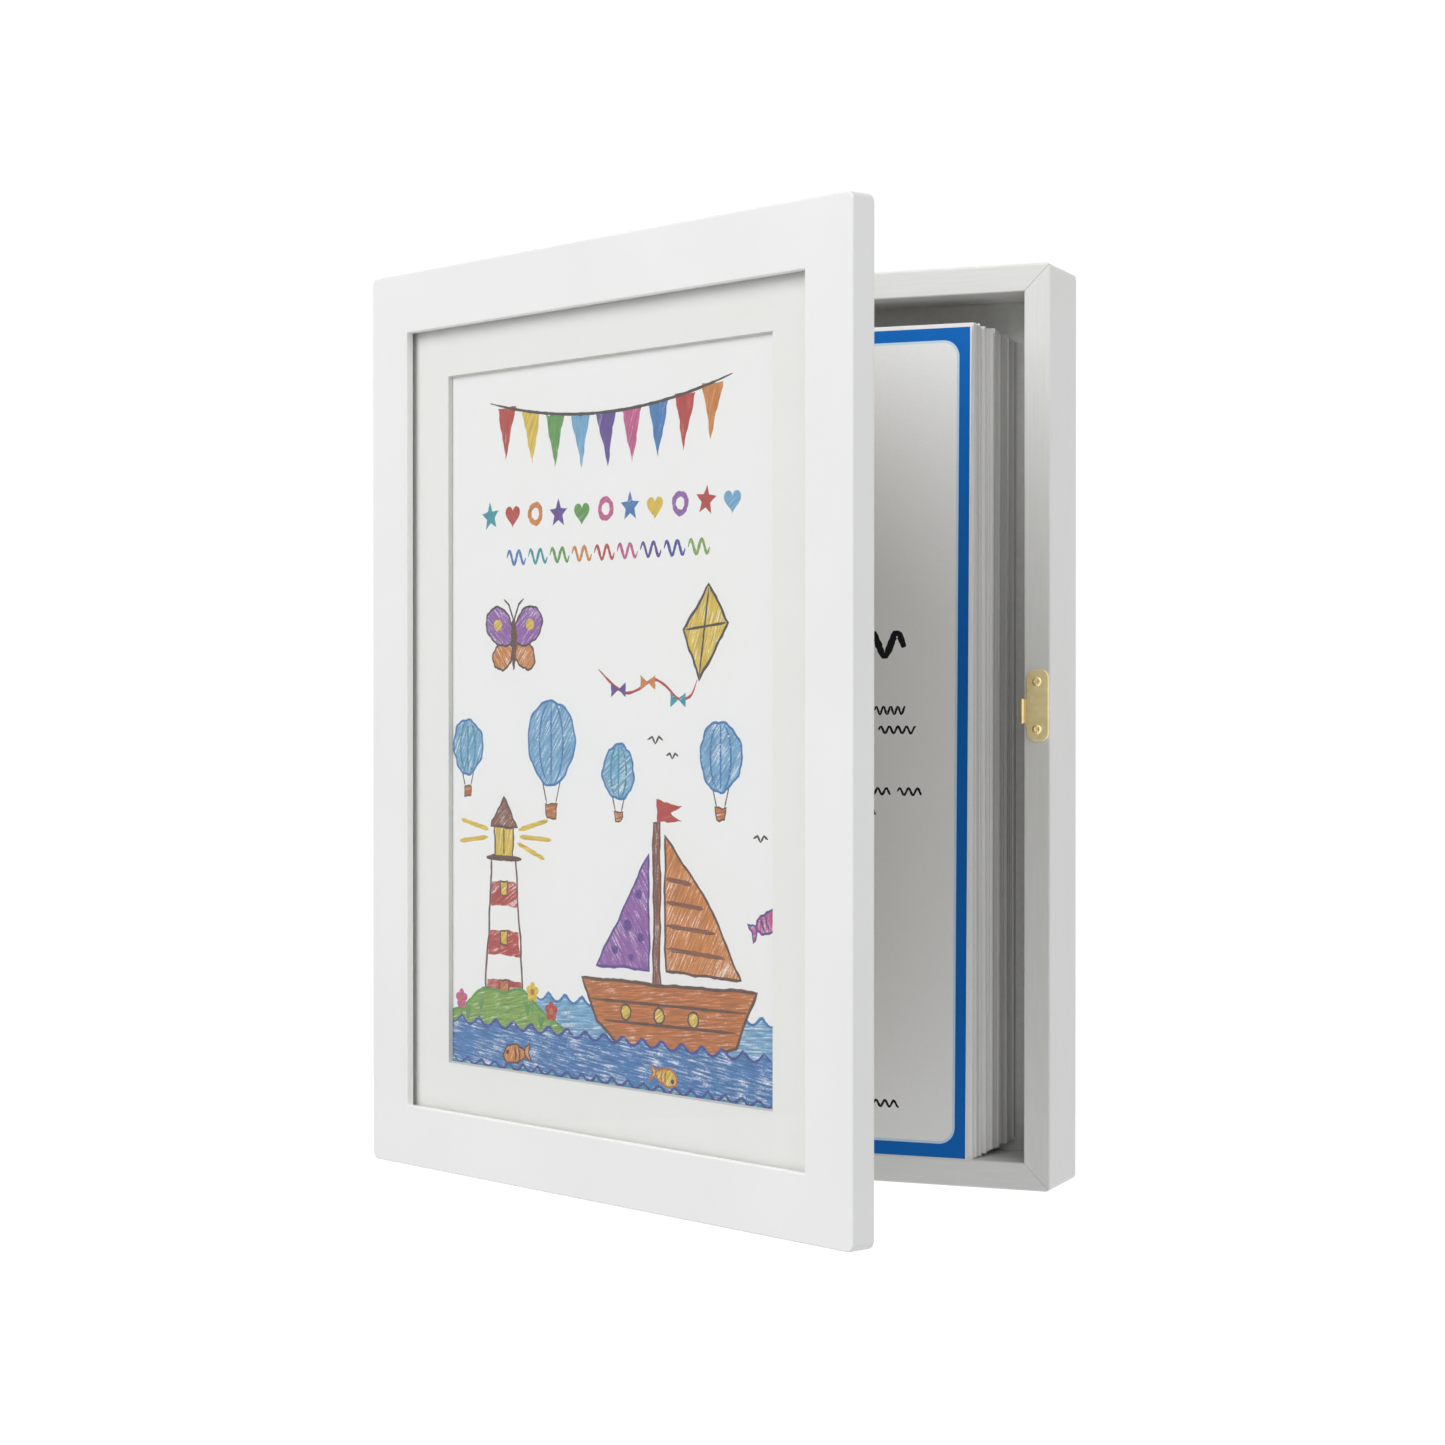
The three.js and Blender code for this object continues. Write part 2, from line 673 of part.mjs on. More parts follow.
function addPaper() {
  const bottom = -innerHeight / 2 + seatGap;
  const left = -innerWidth / 2 + paperSideRoom * coverSideShare;
  const fan = paperSideRoom * bundleFanShare;
  const coverFront = boxFrontY + coverInset;
  const coverRear = coverFront + coverThickness;
  const top = bottom + paperHeight;
  const cover = block(left, left + paperWidth, coverFront, coverRear, bottom, top);
  addPiece(box, 'cover_sheet', cover, coverPaper);
  const pitch = (panelFrontY - coverRear - seatGap) / bundleCount;
  for (let index = 0; index < bundleCount; index += 1) {
    const front = coverRear + seatGap + index * pitch;
    const shift = (fan * (index + 1)) / bundleCount;
    const rear = front + pitch - seatGap;
    const bundle = block(left + shift, left + shift + paperWidth, front, rear, bottom, top);
    addPiece(box, `paper_bundle_${index + 1}`, bundle, paper);
  }
}

// Door: four mitred rails, with pilot holes for what is screwed to their backs

const clipZ = strikeHeightAboveCentre - doorRaise;
const clipScrewX = rimCentreX;
const clipFaceY = hardwareRearY + clipBaseThickness;

function addDoorRails() {
  const holes = { top: [], bottom: [], left: [], right: [] };
  const leafFace = hardwareRearY + leafThickness;
  for (const hinge of hingePlaces) {
    for (const dz of leafScrewZs) {
      const z = hinge.z + dz - doorRaise;
      holes.left.push(pilotHole(leafScrewX, leafFace, z, 1, leafScrewLength));
    }
  }
  const buttonSeat = hardwareRearY + buttonThickness + seatGap;
  for (const place of buttonPlaces) {
    const hole = pilotHole(place.x, buttonSeat, place.z, 1, buttonScrewLength);
    (place.inward > 0 ? holes.left : holes.right).push(hole);
  }
  holes.right.push(pilotHole(clipScrewX, clipFaceY, clipZ, 1, clipScrewLength));
  for (const side of railSides) {
    const rail = mitredRail(doorSection(), side, doorWidth, doorHeight, doorFrontY, seatGap);
    addPiece(shutDoor, `door_${side}_rail`, cut(rail, holes[side]), paint);
  }
}

// Picture layers: glazing, bevelled mat, print and backing board, seated one behind another

function addPictureLayers() {
  const halfWidth = openingWidth / 2 + lipWidth - seatGap;
  const halfHeight = openingHeight / 2 + lipWidth - seatGap;
  const glazingFront = doorFrontY + lipDepth + seatGap;
  const glazingRear = glazingFront + glazingThickness;
  const glazing = block(-halfWidth, halfWidth, glazingFront, glazingRear, -halfHeight, halfHeight);
  addPiece(shutDoor, 'glazing', glazing, acrylic);

  const matFront = glazingRear + seatGap;
  const matRear = matFront + matThickness;
  const mat = block(-halfWidth, halfWidth, matFront, matRear, -halfHeight, halfHeight);
  addPiece(shutDoor, 'mat_board', cut(mat, [bevelledWindow(matFront, matRear)]), matCard);

  const printFront = matRear + seatGap;
  const printRear = printFront + printThickness;
  const sheetX = paperWidth / 2;
  const sheetZ = paperHeight / 2;
  const print = block(-sheetX, sheetX, printFront, printRear, -sheetZ, sheetZ);
  addPiece(shutDoor, 'display_print', print, paper);

  const boardFront = printRear + seatGap;
  const boardRear = doorRearY - backingRecess;
  const board = block(-halfWidth, halfWidth, boardFront, boardRear, -halfHeight, halfHeight);
  addPiece(shutDoor, 'backing_board', board, backboard);
}

// The mat's window slopes in at 45 degrees, so it is wider at the front than at the rear
function bevelledWindow(frontY, rearY) {
  const halfWidth = openingWidth / 2 - matSideReveal;
  const halfHeight = openingHeight / 2 - matEndReveal;
  const y0 = frontY - overrun;
  const y1 = rearY + overrun;
  const tool = block(-halfWidth, halfWidth, y0, y1, -halfHeight, halfHeight);
  const position = tool.getAttribute('position');
  for (let i = 0; i < position.count; i += 1) {
    const widening = frontY - position.getY(i);
    position.setX(i, position.getX(i) + Math.sign(position.getX(i)) * widening);
    position.setZ(i, position.getZ(i) + Math.sign(position.getZ(i)) * widening);
  }
  return tool;
}

// Turn buttons swivel on their screws to hold the backing board in

function buttonGeometry(place) {
  const meet = Math.acos((buttonRadius - buttonTipRadius) / buttonLength);
  const shape = new THREE.Shape();
  shape.absarc(0, 0, buttonRadius, meet, 4 * halfPi - meet);
  shape.absarc(buttonLength, 0, buttonTipRadius, -meet, meet);
  const plate = plateAcrossY(shape, hardwareRearY, buttonThickness);
  const hole = rodAlongY(
    screwShankRadius + holeClearance,
    0,
    hardwareRearY - overrun,
    hardwareRearY + buttonThickness + overrun,
    0,
  );
  const button = cut(plate, [hole]);
  if (place.inward < 0) {
    button.rotateY(2 * halfPi);
  }
  button.translate(place.x, 0, place.z);
  return button;
}

function addTurnButtons() {
  const seat = hardwareRearY + buttonThickness + faceGap;
  const screw = roundScrew(lowHeadHeight, buttonScrewLength);
  for (const place of buttonPlaces) {
    addPiece(shutDoor, `turn_button_${place.label}`, buttonGeometry(place), zinc);
    const placed = fastenerAt(screw, place.x, seat, place.z, 1);
    addPiece(shutDoor, `turn_button_screw_${place.label}`, placed, zinc);
  }
}

// Catch clip: a base on the door's back and a bulged tongue that slips in beside the bead

function addCatchClip() {
  const bulgeX = innerWidth / 2 - strikeBeadReach - strikeBeadRadius - tongueClearance;
  const tongueX = bulgeX - tongueBulge;
  const baseEnd = boxWidth / 2 - strikeMargin;
  const rootY = hardwareRearY;
  const straightY = rootY + tongueLength * tongueBendShare;
  const bulgeY = rootY + tongueLength * tongueBulgeShare;
  const tipY = rootY + tongueLength;
  const shape = new THREE.Shape();
  shape.moveTo(tongueX - tongueThickness, rootY);
  shape.lineTo(baseEnd, rootY);
  shape.lineTo(baseEnd, clipFaceY);
  shape.lineTo(tongueX, clipFaceY);
  shape.lineTo(tongueX, straightY);
  shape.lineTo(bulgeX, bulgeY);
  shape.lineTo(tongueX, tipY);
  shape.lineTo(tongueX - tongueThickness, tipY);
  shape.lineTo(bulgeX - tongueThickness, bulgeY);
  shape.lineTo(tongueX - tongueThickness, straightY);
  shape.closePath();
  const strip = new THREE.ExtrudeGeometry(shape, { depth: clipWidth, bevelEnabled: false });
  strip.translate(0, 0, clipZ - clipWidth / 2);
  const hole = dishedHole(clipScrewX, clipFaceY, clipZ, 1, clipBaseThickness);
  addPiece(shutDoor, 'catch_clip', cut(strip, [hole]), brass);
  const screw = flatScrew(clipScrewLength);
  const placed = fastenerAt(screw, clipScrewX, clipFaceY - faceGap / 2, clipZ, 1);
  addPiece(shutDoor, 'catch_clip_screw', placed, brass);
}

addBoxRails();
addBackPanel();
addHangers();
addStrikePlate();
addHinges();
addPaper();
addDoorRails();
addPictureLayers();
addTurnButtons();
addCatchClip();

export default artFrame;
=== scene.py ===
# Front-opening art frame: a white picture door, ajar on a shallow box that stores drawing paper.
# Blender 4.5. X to the right, Y into the wall, Z up. Sizes in the dictionaries are millimetres,
# apart from those of the lamps and the floor, which are metres.

import math

import bpy
import numpy as np
from mathutils.geometry import delaunay_2d_cdt
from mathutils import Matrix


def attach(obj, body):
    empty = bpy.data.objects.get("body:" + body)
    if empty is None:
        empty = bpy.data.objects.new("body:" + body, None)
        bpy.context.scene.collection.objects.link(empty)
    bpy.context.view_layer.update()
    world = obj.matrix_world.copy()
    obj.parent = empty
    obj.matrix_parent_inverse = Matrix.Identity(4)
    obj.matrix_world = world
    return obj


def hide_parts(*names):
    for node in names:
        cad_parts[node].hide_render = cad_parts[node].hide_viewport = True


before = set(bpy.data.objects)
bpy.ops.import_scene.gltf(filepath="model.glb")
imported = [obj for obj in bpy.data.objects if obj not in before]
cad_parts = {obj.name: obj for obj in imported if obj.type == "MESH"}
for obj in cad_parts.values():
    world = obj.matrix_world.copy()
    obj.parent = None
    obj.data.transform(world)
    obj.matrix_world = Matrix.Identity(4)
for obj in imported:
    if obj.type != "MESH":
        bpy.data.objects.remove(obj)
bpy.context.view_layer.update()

scene = bpy.context.scene
mm = 0.001
quarterTurn = math.pi / 2
fullTurn = 2 * math.pi
tiny = 1e-9
poleRadius = 0.05    # a turned shape keeps a hole of this size, which its cap fills
print("stage: frame loaded,", len(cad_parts), "nodes")

# Places that several pieces share: the middles of the box and the door, the hinge line, the catch
# and the turn buttons
boxMiddle = -161.15
doorMiddle = -158.65
hinge = {
    "x": -130.2,
    "y": -33.5,
    "openDegrees": 26,
    "middles": {"upper": -47.65, "lower": -274.65},
    "screwX": -123.75,
    "screwReach": 8.5,
}
catch = {"screwX": 123.3, "screwReach": 8.4, "middle": -153.35}
buttonPlace = {"x": 118.97, "reach": 70}


# Camera

cameraSettings = {
    "place": (425.47, -1042.80, -153.17),
    "turnLeft": 22.70,
    "tiltDown": 0.338,
    "lens": 74.2,
    "sensor": 36,
    "nearest": 50,
    "farthest": 40000,
}


def addCamera():
    # a camera at the photograph's place, turned to the left and tilted down a little
    data = bpy.data.cameras.new("camera")
    data.lens = cameraSettings["lens"]
    data.sensor_width = cameraSettings["sensor"]
    data.clip_start = cameraSettings["nearest"] * mm
    data.clip_end = cameraSettings["farthest"] * mm
    camera = bpy.data.objects.new("camera", data)
    camera.location = [v * mm for v in cameraSettings["place"]]
    tilt = math.radians(90 - cameraSettings["tiltDown"])
    camera.rotation_euler = (tilt, 0, math.radians(cameraSettings["turnLeft"]))
    scene.collection.objects.link(camera)
    scene.camera = camera


addCamera()


# Small tools: colours, shader nodes and meshes


def linearOf(hexText):
    # sRGB hex to the linear colour that shaders take
    srgb = np.array([int(hexText[i:i + 2], 16) for i in (1, 3, 5)]) / 255
    linear = np.where(srgb <= 0.04045, srgb / 12.92, ((srgb + 0.055) / 1.055) ** 2.4)
    return (*linear.tolist(), 1.0)


def addNode(tree, kind, settings=(), links=()):
    # adds a node: settings are its properties or input values, links are sockets for its inputs
    node = tree.nodes.new(kind)
    for key, value in dict(settings).items():
        if isinstance(key, str) and hasattr(node, key):
            setattr(node, key, value)
        else:
            node.inputs[key].default_value = value
    for key, source in dict(links).items():
        tree.links.new(source, node.inputs[key])
    return node


def newMaterial(name, colour, roughness, extras=()):
    # a material with its Principled shader set: returns it, its node tree and the shader
    material = bpy.data.materials.new(name)
    material.use_nodes = True
    tree = material.node_tree
    shader = tree.nodes["Principled BSDF"]
    shader.inputs["Base Color"].default_value = linearOf(colour)
    shader.inputs["Roughness"].default_value = roughness
    for key, value in dict(extras).items():
        shader.inputs[key].default_value = value
    return material, tree, shader


def blotches(tree, size, detail=3, rough=0.5, stretch=(1, 1, 1)):
    # a pattern on object coordinates, of blotches about size millimetres across; they are longer
    # along an axis whose stretch is below one
    place = addNode(tree, "ShaderNodeTexCoord").outputs["Object"]
    stretched = addNode(tree, "ShaderNodeMapping", {"Scale": stretch}, {"Vector": place})
    settings = {"Scale": 1 / (size * mm), "Detail": detail, "Roughness": rough}
    links = {"Vector": stretched.outputs["Vector"]}
    return addNode(tree, "ShaderNodeTexNoise", settings, links).outputs["Fac"]


def coat(tree, under, over, pattern, low=0.3, high=0.7, most=1.0, blend="MIX"):
    # lays one colour over another, each a hex value or a socket: the share of the upper one rises
    # from none to most while the pattern rises from low to high
    limits = {"From Min": low, "From Max": high, "To Max": most}
    share = addNode(tree, "ShaderNodeMapRange", limits, {"Value": pattern}).outputs["Result"]
    mix = addNode(tree, "ShaderNodeMix", {"data_type": "RGBA", "blend_type": blend}, {0: share})
    for slot, colour in ((6, under), (7, over)):
        if isinstance(colour, str):
            mix.inputs[slot].default_value = linearOf(colour)
        else:
            tree.links.new(colour, mix.inputs[slot])
    return mix.outputs[2]


def addUp(tree, parts):
    # the weighted sum of patterns
    total = None
    for value, weight in parts:
        scaled = addNode(tree, "ShaderNodeMath", {"operation": "MULTIPLY", 1: weight}, {0: value})
        if total is None:
            total = scaled.outputs[0]
        else:
            both = {0: total, 1: scaled.outputs[0]}
            total = addNode(tree, "ShaderNodeMath", {"operation": "ADD"}, both).outputs[0]
    return total


def dress(tree, shader, colour, height, depth, gloss=None):
    # gives a shader its colour and a relief whose depth is in millimetres. gloss is a pattern, the
    # two values that it is read between, and the roughness at each
    tree.links.new(colour, shader.inputs["Base Color"])
    settings = {"Distance": depth * mm, "Strength": 1}
    relief = addNode(tree, "ShaderNodeBump", settings, {"Height": height})
    tree.links.new(relief.outputs["Normal"], shader.inputs["Normal"])
    if gloss:
        pattern, low, high, atLow, atHigh = gloss
        limits = {"From Min": low, "From Max": high, "To Min": atLow, "To Max": atHigh}
        spread = addNode(tree, "ShaderNodeMapRange", limits, {"Value": pattern})
        tree.links.new(spread.outputs["Result"], shader.inputs["Roughness"])


def meshFrom(name, points, faceSets):
    # a mesh from points in millimetres and arrays of faces, turned inside out if its volume, the
    # sum of the faces' pyramids, is negative
    volume = 0.0
    for faces in faceSets:
        for k in range(1, faces.shape[1] - 1):
            a, b, c = points[faces[:, 0]], points[faces[:, k]], points[faces[:, k + 1]]
            volume += np.einsum("ij,ij->i", a, np.cross(b, c)).sum()
    if volume < 0:
        faceSets = [faces[:, ::-1] for faces in faceSets]
    counts = np.concatenate([np.full(len(faces), faces.shape[1]) for faces in faceSets])
    corners = np.concatenate([faces.ravel() for faces in faceSets])
    starts = np.concatenate([[0], np.cumsum(counts)[:-1]])
    mesh = bpy.data.meshes.new(name)
    mesh.vertices.add(len(points))
    mesh.vertices.foreach_set("co", (points * mm).astype(np.float32).ravel())
    mesh.loops.add(len(corners))
    mesh.loops.foreach_set("vertex_index", corners.astype(np.int32))
    mesh.polygons.add(len(counts))
    mesh.polygons.foreach_set("loop_start", starts.astype(np.int32))
    mesh.update(calc_edges=True)
    return mesh


def addPiece(name, surface, finishes, body, nodes, sharpDegrees=32, faceFinish=None):
    # makes the piece, gives it its finishes, and lets it stand for its CAD nodes
    mesh = meshFrom(name, *surface)
    piece = bpy.data.objects.new(name, mesh)
    scene.collection.objects.link(piece)
    for finish in finishes:
        mesh.materials.append(finish)
    if faceFinish is not None:
        mesh.polygons.foreach_set("material_index", faceFinish.astype(np.int32))
    mesh.shade_smooth()
    mesh.set_sharp_from_angle(angle=math.radians(sharpDegrees))
    piece.modifiers.new("flat faces stay flat", "WEIGHTED_NORMAL").keep_sharp = True
    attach(piece, body)
    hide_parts(*nodes)
    return piece


def joined(parts):
    # several closed surfaces as one: points are stacked and faces renumbered
    points, faceSets, start = [], [], 0
    for partPoints, partFaces in parts:
        points.append(partPoints)
        faceSets += [faces + start for faces in partFaces]
        start += len(partPoints)
    bySize = {}
    for faces in faceSets:
        bySize.setdefault(faces.shape[1], []).append(faces)
    return np.concatenate(points), [np.concatenate(group) for group in bySize.values()]


def ringStack(rings, closed=False):
    # rings[i, j] is a point: quads join neighbours in i and j; j runs round, and i runs round or is
    # capped at both ends
    rows, cols = rings.shape[:2]
    i = np.arange(rows if closed else rows - 1)[:, None] * cols
    j = np.arange(cols)[None, :]
    below = (i + cols) % (rows * cols)
    beside = (j + 1) % cols
    quads = np.stack([i + j, i + beside, below + beside, below + j], -1).reshape(-1, 4)
    faces = [quads]
    if not closed:
        faces.append(np.stack([np.arange(cols)[::-1], (rows - 1) * cols + np.arange(cols)]))
    return rings.reshape(-1, 3), faces


def gridShell(front, back):
    # two grids of one size, joined round their rims into one closed thin sheet
    rows, cols = front.shape[:2]
    count = rows * cols
    index = np.arange(count).reshape(rows, cols)
    quads = np.stack([index[:-1, :-1], index[:-1, 1:], index[1:, 1:], index[1:, :-1]], -1)
    quads = quads.reshape(-1, 4)
    rim = np.concatenate([index[0, :-1], index[:-1, -1], index[-1, :0:-1], index[:0:-1, 0]])
    after = np.roll(rim, -1)
    sides = np.stack([after, rim, rim + count, after + count], -1)
    points = np.concatenate([front.reshape(-1, 3), back.reshape(-1, 3)])
    return points, [np.concatenate([quads, quads[:, ::-1] + count, sides])]


def arcPoints(centre, radius, start, end, steps):
    # points on a circle's arc, angles in quarter turns
    angle = np.linspace(start, end, steps + 1) * quarterTurn
    return np.stack([centre[0] + radius * np.cos(angle), centre[1] + radius * np.sin(angle)], -1)


def roundedBox(x0, x1, z0, z1, radius, steps=10, rightRadius=None):
    # a rectangle as a closed line, with one corner radius on its left and another on its right
    right = radius if rightRadius is None else rightRadius
    corners = [
        (x1 - right, z1 - right, right, 0), (x0 + radius, z1 - radius, radius, 1),
        (x0 + radius, z0 + radius, radius, 2), (x1 - right, z0 + right, right, 3),
    ]
    return np.concatenate([arcPoints((x, z), r, q, q + 1, steps) for x, z, r, q in corners])


def twiceArea(outline):
    # the sum of the edges' cross products: positive where a closed line turns to the left
    ahead = np.roll(outline, -1, 0)
    return np.sum(outline[:, 0] * ahead[:, 1] - ahead[:, 0] * outline[:, 1])


def outward(outline, distance):
    # moves each point of a closed line along its normal; a positive distance is outwards
    along = np.roll(outline, -1, 0) - np.roll(outline, 1, 0)
    normal = np.stack([along[:, 1], -along[:, 0]], -1) * np.sign(twiceArea(outline))
    normal /= np.maximum(np.hypot(*normal.T), tiny)[:, None]
    return outline + normal * np.reshape(distance, (-1, 1))


def atDepth(flat, y, z=0.0):
    # puts a flat line in the plane of the wall, at depth y and raised by z
    return np.insert(flat + [0, z], 1, y, axis=1)


def roundedRing(halfWidth, halfHeight, radius, y, middle, steps=4):
    # a rectangle with rounded corners in the plane of the wall, at depth y, round the given middle
    flat = roundedBox(-halfWidth, halfWidth, -halfHeight, halfHeight, radius, steps)
    return atDepth(flat, y, middle)


def ringsOf(halfWidth, halfHeight, profile, middle, cornerRadius, leastRadius=0.25, steps=4):
    # a frame's or board's surface: each profile point (inset, depth) is one rounded rectangle
    rings = []
    for inset, y in profile:
        radius = max(leastRadius, cornerRadius - inset)
        rings.append(roundedRing(halfWidth - inset, halfHeight - inset, radius, y, middle, steps))
    return np.array(rings)


def opened(surface):
    # turns a surface drawn for the shut door about the hinge line to where the door stands
    points, faces = surface
    c = math.cos(math.radians(hinge["openDegrees"]))
    s = math.sin(math.radians(hinge["openDegrees"]))
    dx, dy = points[:, 0] - hinge["x"], points[:, 1] - hinge["y"]
    turned = [hinge["x"] + dx * c + dy * s, hinge["y"] - dx * s + dy * c, points[:, 2]]
    return np.stack(turned, -1), faces


# Finishes


def makeLacquer():
    # sprayed white furniture lacquer on fine board: even, satin, with a faint orange peel
    material, tree, shader = newMaterial("sprayedLacquer", "#ECECEA", 0.42)
    colour = coat(tree, "#EAEAE8", "#EEEEEC", blotches(tree, 60, 2))
    peel, grit = blotches(tree, 1.6, 2, 0.4), blotches(tree, 0.35, 2)
    height = addUp(tree, [(peel, 0.8), (grit, 0.2)])
    dress(tree, shader, colour, height, 0.02, (peel, 0.3, 0.7, 0.38, 0.47))
    return material


def makeBrushedLacquer(name, stretch):
    # white lacquer on a planed pine moulding: its grain shows as faint ridges along the rail
    material, tree, shader = newMaterial(name, "#E9E9E6", 0.44)
    grain = blotches(tree, 0.8, 4, 0.55, stretch)
    colour = coat(tree, "#E6E6E3", "#ECECEA", grain, 0.35)
    colour = coat(tree, colour, "#E4E4E0", blotches(tree, 45, 2), most=0.35)
    dress(tree, shader, colour, grain, 0.035, (grain, 0.3, 0.7, 0.40, 0.50))
    return material


def makeAcrylic():
    # cast acrylic sheet with a hard anti-glare coat: clear, mirror-like only at a flat angle
    material, tree, shader = newMaterial("castAcrylic", "#FFFFFF", 0.03)
    tree.nodes.remove(shader)
    scratches = blotches(tree, 1.2, 3, stretch=(1, 1, 0.06))
    fine = addNode(tree, "ShaderNodeBump", {"Distance": 0.0008 * mm}, {"Height": scratches})
    gloss = {"Color": linearOf("#FFFFFF"), "Roughness": 0.03}
    sheen = addNode(tree, "ShaderNodeBsdfGlossy", gloss, {"Normal": fine.outputs["Normal"]})
    clear = addNode(tree, "ShaderNodeBsdfTransparent", {"Color": linearOf("#FEFEFE")})
    facing = addNode(tree, "ShaderNodeLayerWeight", {"Blend": 0.5}).outputs["Facing"]
    flat = addNode(tree, "ShaderNodeMath", {"operation": "POWER", 1: 5.0}, {0: facing})
    share = addNode(tree, "ShaderNodeMapRange", {"To Min": 0.03}, {"Value": flat.outputs[0]})
    parts = {0: share.outputs["Result"], 1: clear.outputs["BSDF"], 2: sheen.outputs["BSDF"]}
    mix = addNode(tree, "ShaderNodeMixShader", {}, parts)
    tree.links.new(mix.outputs["Shader"], tree.nodes["Material Output"].inputs["Surface"])
    return material


def makeMatCard(name, light, dark):
    # pressed picture-mount card: chalky off-white with a fine felt texture
    material, tree, shader = newMaterial(name, light, 0.92, {"Specular IOR Level": 0.25})
    felt = blotches(tree, 0.55, 4, 0.6)
    colour = coat(tree, dark, light, felt)
    colour = coat(tree, colour, dark, blotches(tree, 22, 3), 0.35, most=0.3)
    dress(tree, shader, colour, felt, 0.05)
    return material


def makeCrayonPrint():
    # wax crayon on cartridge paper: streaks along each stroke, and bare paper grain between them.
    # strokeMap holds a corner's place along and across the hatching, and how hard it is pressed
    sheen = {"Specular IOR Level": 0.3}
    material, tree, shader = newMaterial("crayonPrint", "#F1F1EF", 0.75, sheen)
    wax = addNode(tree, "ShaderNodeAttribute", {"attribute_name": "waxColour"}).outputs["Color"]
    stroke = addNode(tree, "ShaderNodeAttribute", {"attribute_name": "strokeMap"}).outputs["Vector"]
    weight = addNode(tree, "ShaderNodeSeparateXYZ", {}, {0: stroke}).outputs["Z"]
    streakSize = {"operation": "MULTIPLY", 1: (1 / 9.0, 1 / 0.75, 0.0)}
    streakPlace = addNode(tree, "ShaderNodeVectorMath", streakSize, {0: stroke}).outputs["Vector"]
    settings = {"Scale": 1.0, "Detail": 3.0, "Roughness": 0.6}
    streak = addNode(tree, "ShaderNodeTexNoise", settings, {"Vector": streakPlace}).outputs["Fac"]
    grain = blotches(tree, 0.5, 3, 0.6)
    parts = [(streak, 0.62), (grain, 0.38), (blotches(tree, 7, 2), 0.25), (weight, 0.36)]
    limits = {"From Min": 0.80, "From Max": 0.95}
    laid = addNode(tree, "ShaderNodeMapRange", limits, {"Value": addUp(tree, parts)})
    drawn = addNode(tree, "ShaderNodeMath", {"operation": "GREATER_THAN", 1: 0.05}, {0: weight})
    both = {0: laid.outputs["Result"], 1: drawn.outputs[0]}
    cover = addNode(tree, "ShaderNodeMath", {"operation": "MULTIPLY"}, both).outputs[0]
    rich = coat(tree, wax, "#B9B4B4", streak, 0.35, blend="MULTIPLY")
    paper = coat(tree, "#EFEFED", "#F3F3F1", grain)
    colour = coat(tree, paper, rich, cover, 0.0, 1.0)
    height = addUp(tree, [(grain, 0.6), (cover, 0.4)])
    dress(tree, shader, colour, height, 0.03, (cover, 0.0, 1.0, 0.8, 0.55))
    return material


def makeCoverPrint():
    # offset-printed cover sheet: even ink that dries to a low sheen on smooth white stock
    sheen = {"Specular IOR Level": 0.04}
    material, tree, shader = newMaterial("offsetPrintedSheet", "#F0F0EE", 0.5, sheen)
    ink = addNode(tree, "ShaderNodeAttribute", {"attribute_name": "waxColour"}).outputs["Color"]
    fibre = blotches(tree, 0.4, 3, 0.6)
    colour = coat(tree, ink, "#F8F8F8", fibre, 0.7, 0.3, blend="MULTIPLY")
    dress(tree, shader, colour, fibre, 0.012, (blotches(tree, 12, 2), 0.3, 0.7, 0.46, 0.58))
    return material


def makeDrawingPaper():
    # uncoated drawing paper: white and slightly toothy. Each sheet is painted from grey to near
    # white, a painted light and shade that stands in for how its edge catches the light
    sheen = {"Specular IOR Level": 0.3}
    material, tree, shader = newMaterial("uncoatedPaper", "#F0EFEC", 0.85, sheen)
    tone = addNode(tree, "ShaderNodeAttribute", {"attribute_name": "sheetPaintedLight"}).outputs["Fac"]
    fibre = blotches(tree, 0.4, 3, 0.6)
    # painted light and shade: grey for sheets taken to be in shade, near white for lit ones
    colour = coat(tree, "#ABAAA6", "#FAF9F7", tone, 0.0, 1.0)
    colour = coat(tree, colour, "#E4E2DD", fibre, 0.35, most=0.25)
    dress(tree, shader, colour, fibre, 0.03)
    return material


def makeBrass():
    # stamped sheet brass, brushed and lacquered: pale gold, fine lines along the plate
    material, tree, shader = newMaterial("lacqueredBrass", "#EADCAE", 0.42, {"Metallic": 1.0})
    lines = blotches(tree, 0.25, 3, 0.6, (1, 1, 0.08))
    stain = blotches(tree, 4, 3, 0.6)
    colour = coat(tree, "#F2E4B6", "#DEC98E", stain, 0.3, 0.75)
    worn = addUp(tree, [(lines, 0.25), (stain, 0.25)])
    dress(tree, shader, colour, lines, 0.006, (worn, 0.15, 0.35, 0.36, 0.54))
    return material


def makeZinc():
    # zinc-plated steel: blue-grey, with the plating's faint mottle
    material, tree, shader = newMaterial("zincPlatedSteel", "#B9BCC0", 0.36, {"Metallic": 1.0})
    mottle = blotches(tree, 1.8, 4, 0.6)
    colour = coat(tree, "#A9ADB3", "#C6C8CA", mottle)
    dress(tree, shader, colour, mottle, 0.008, (blotches(tree, 9, 2), 0.3, 0.7, 0.3, 0.48))
    return material


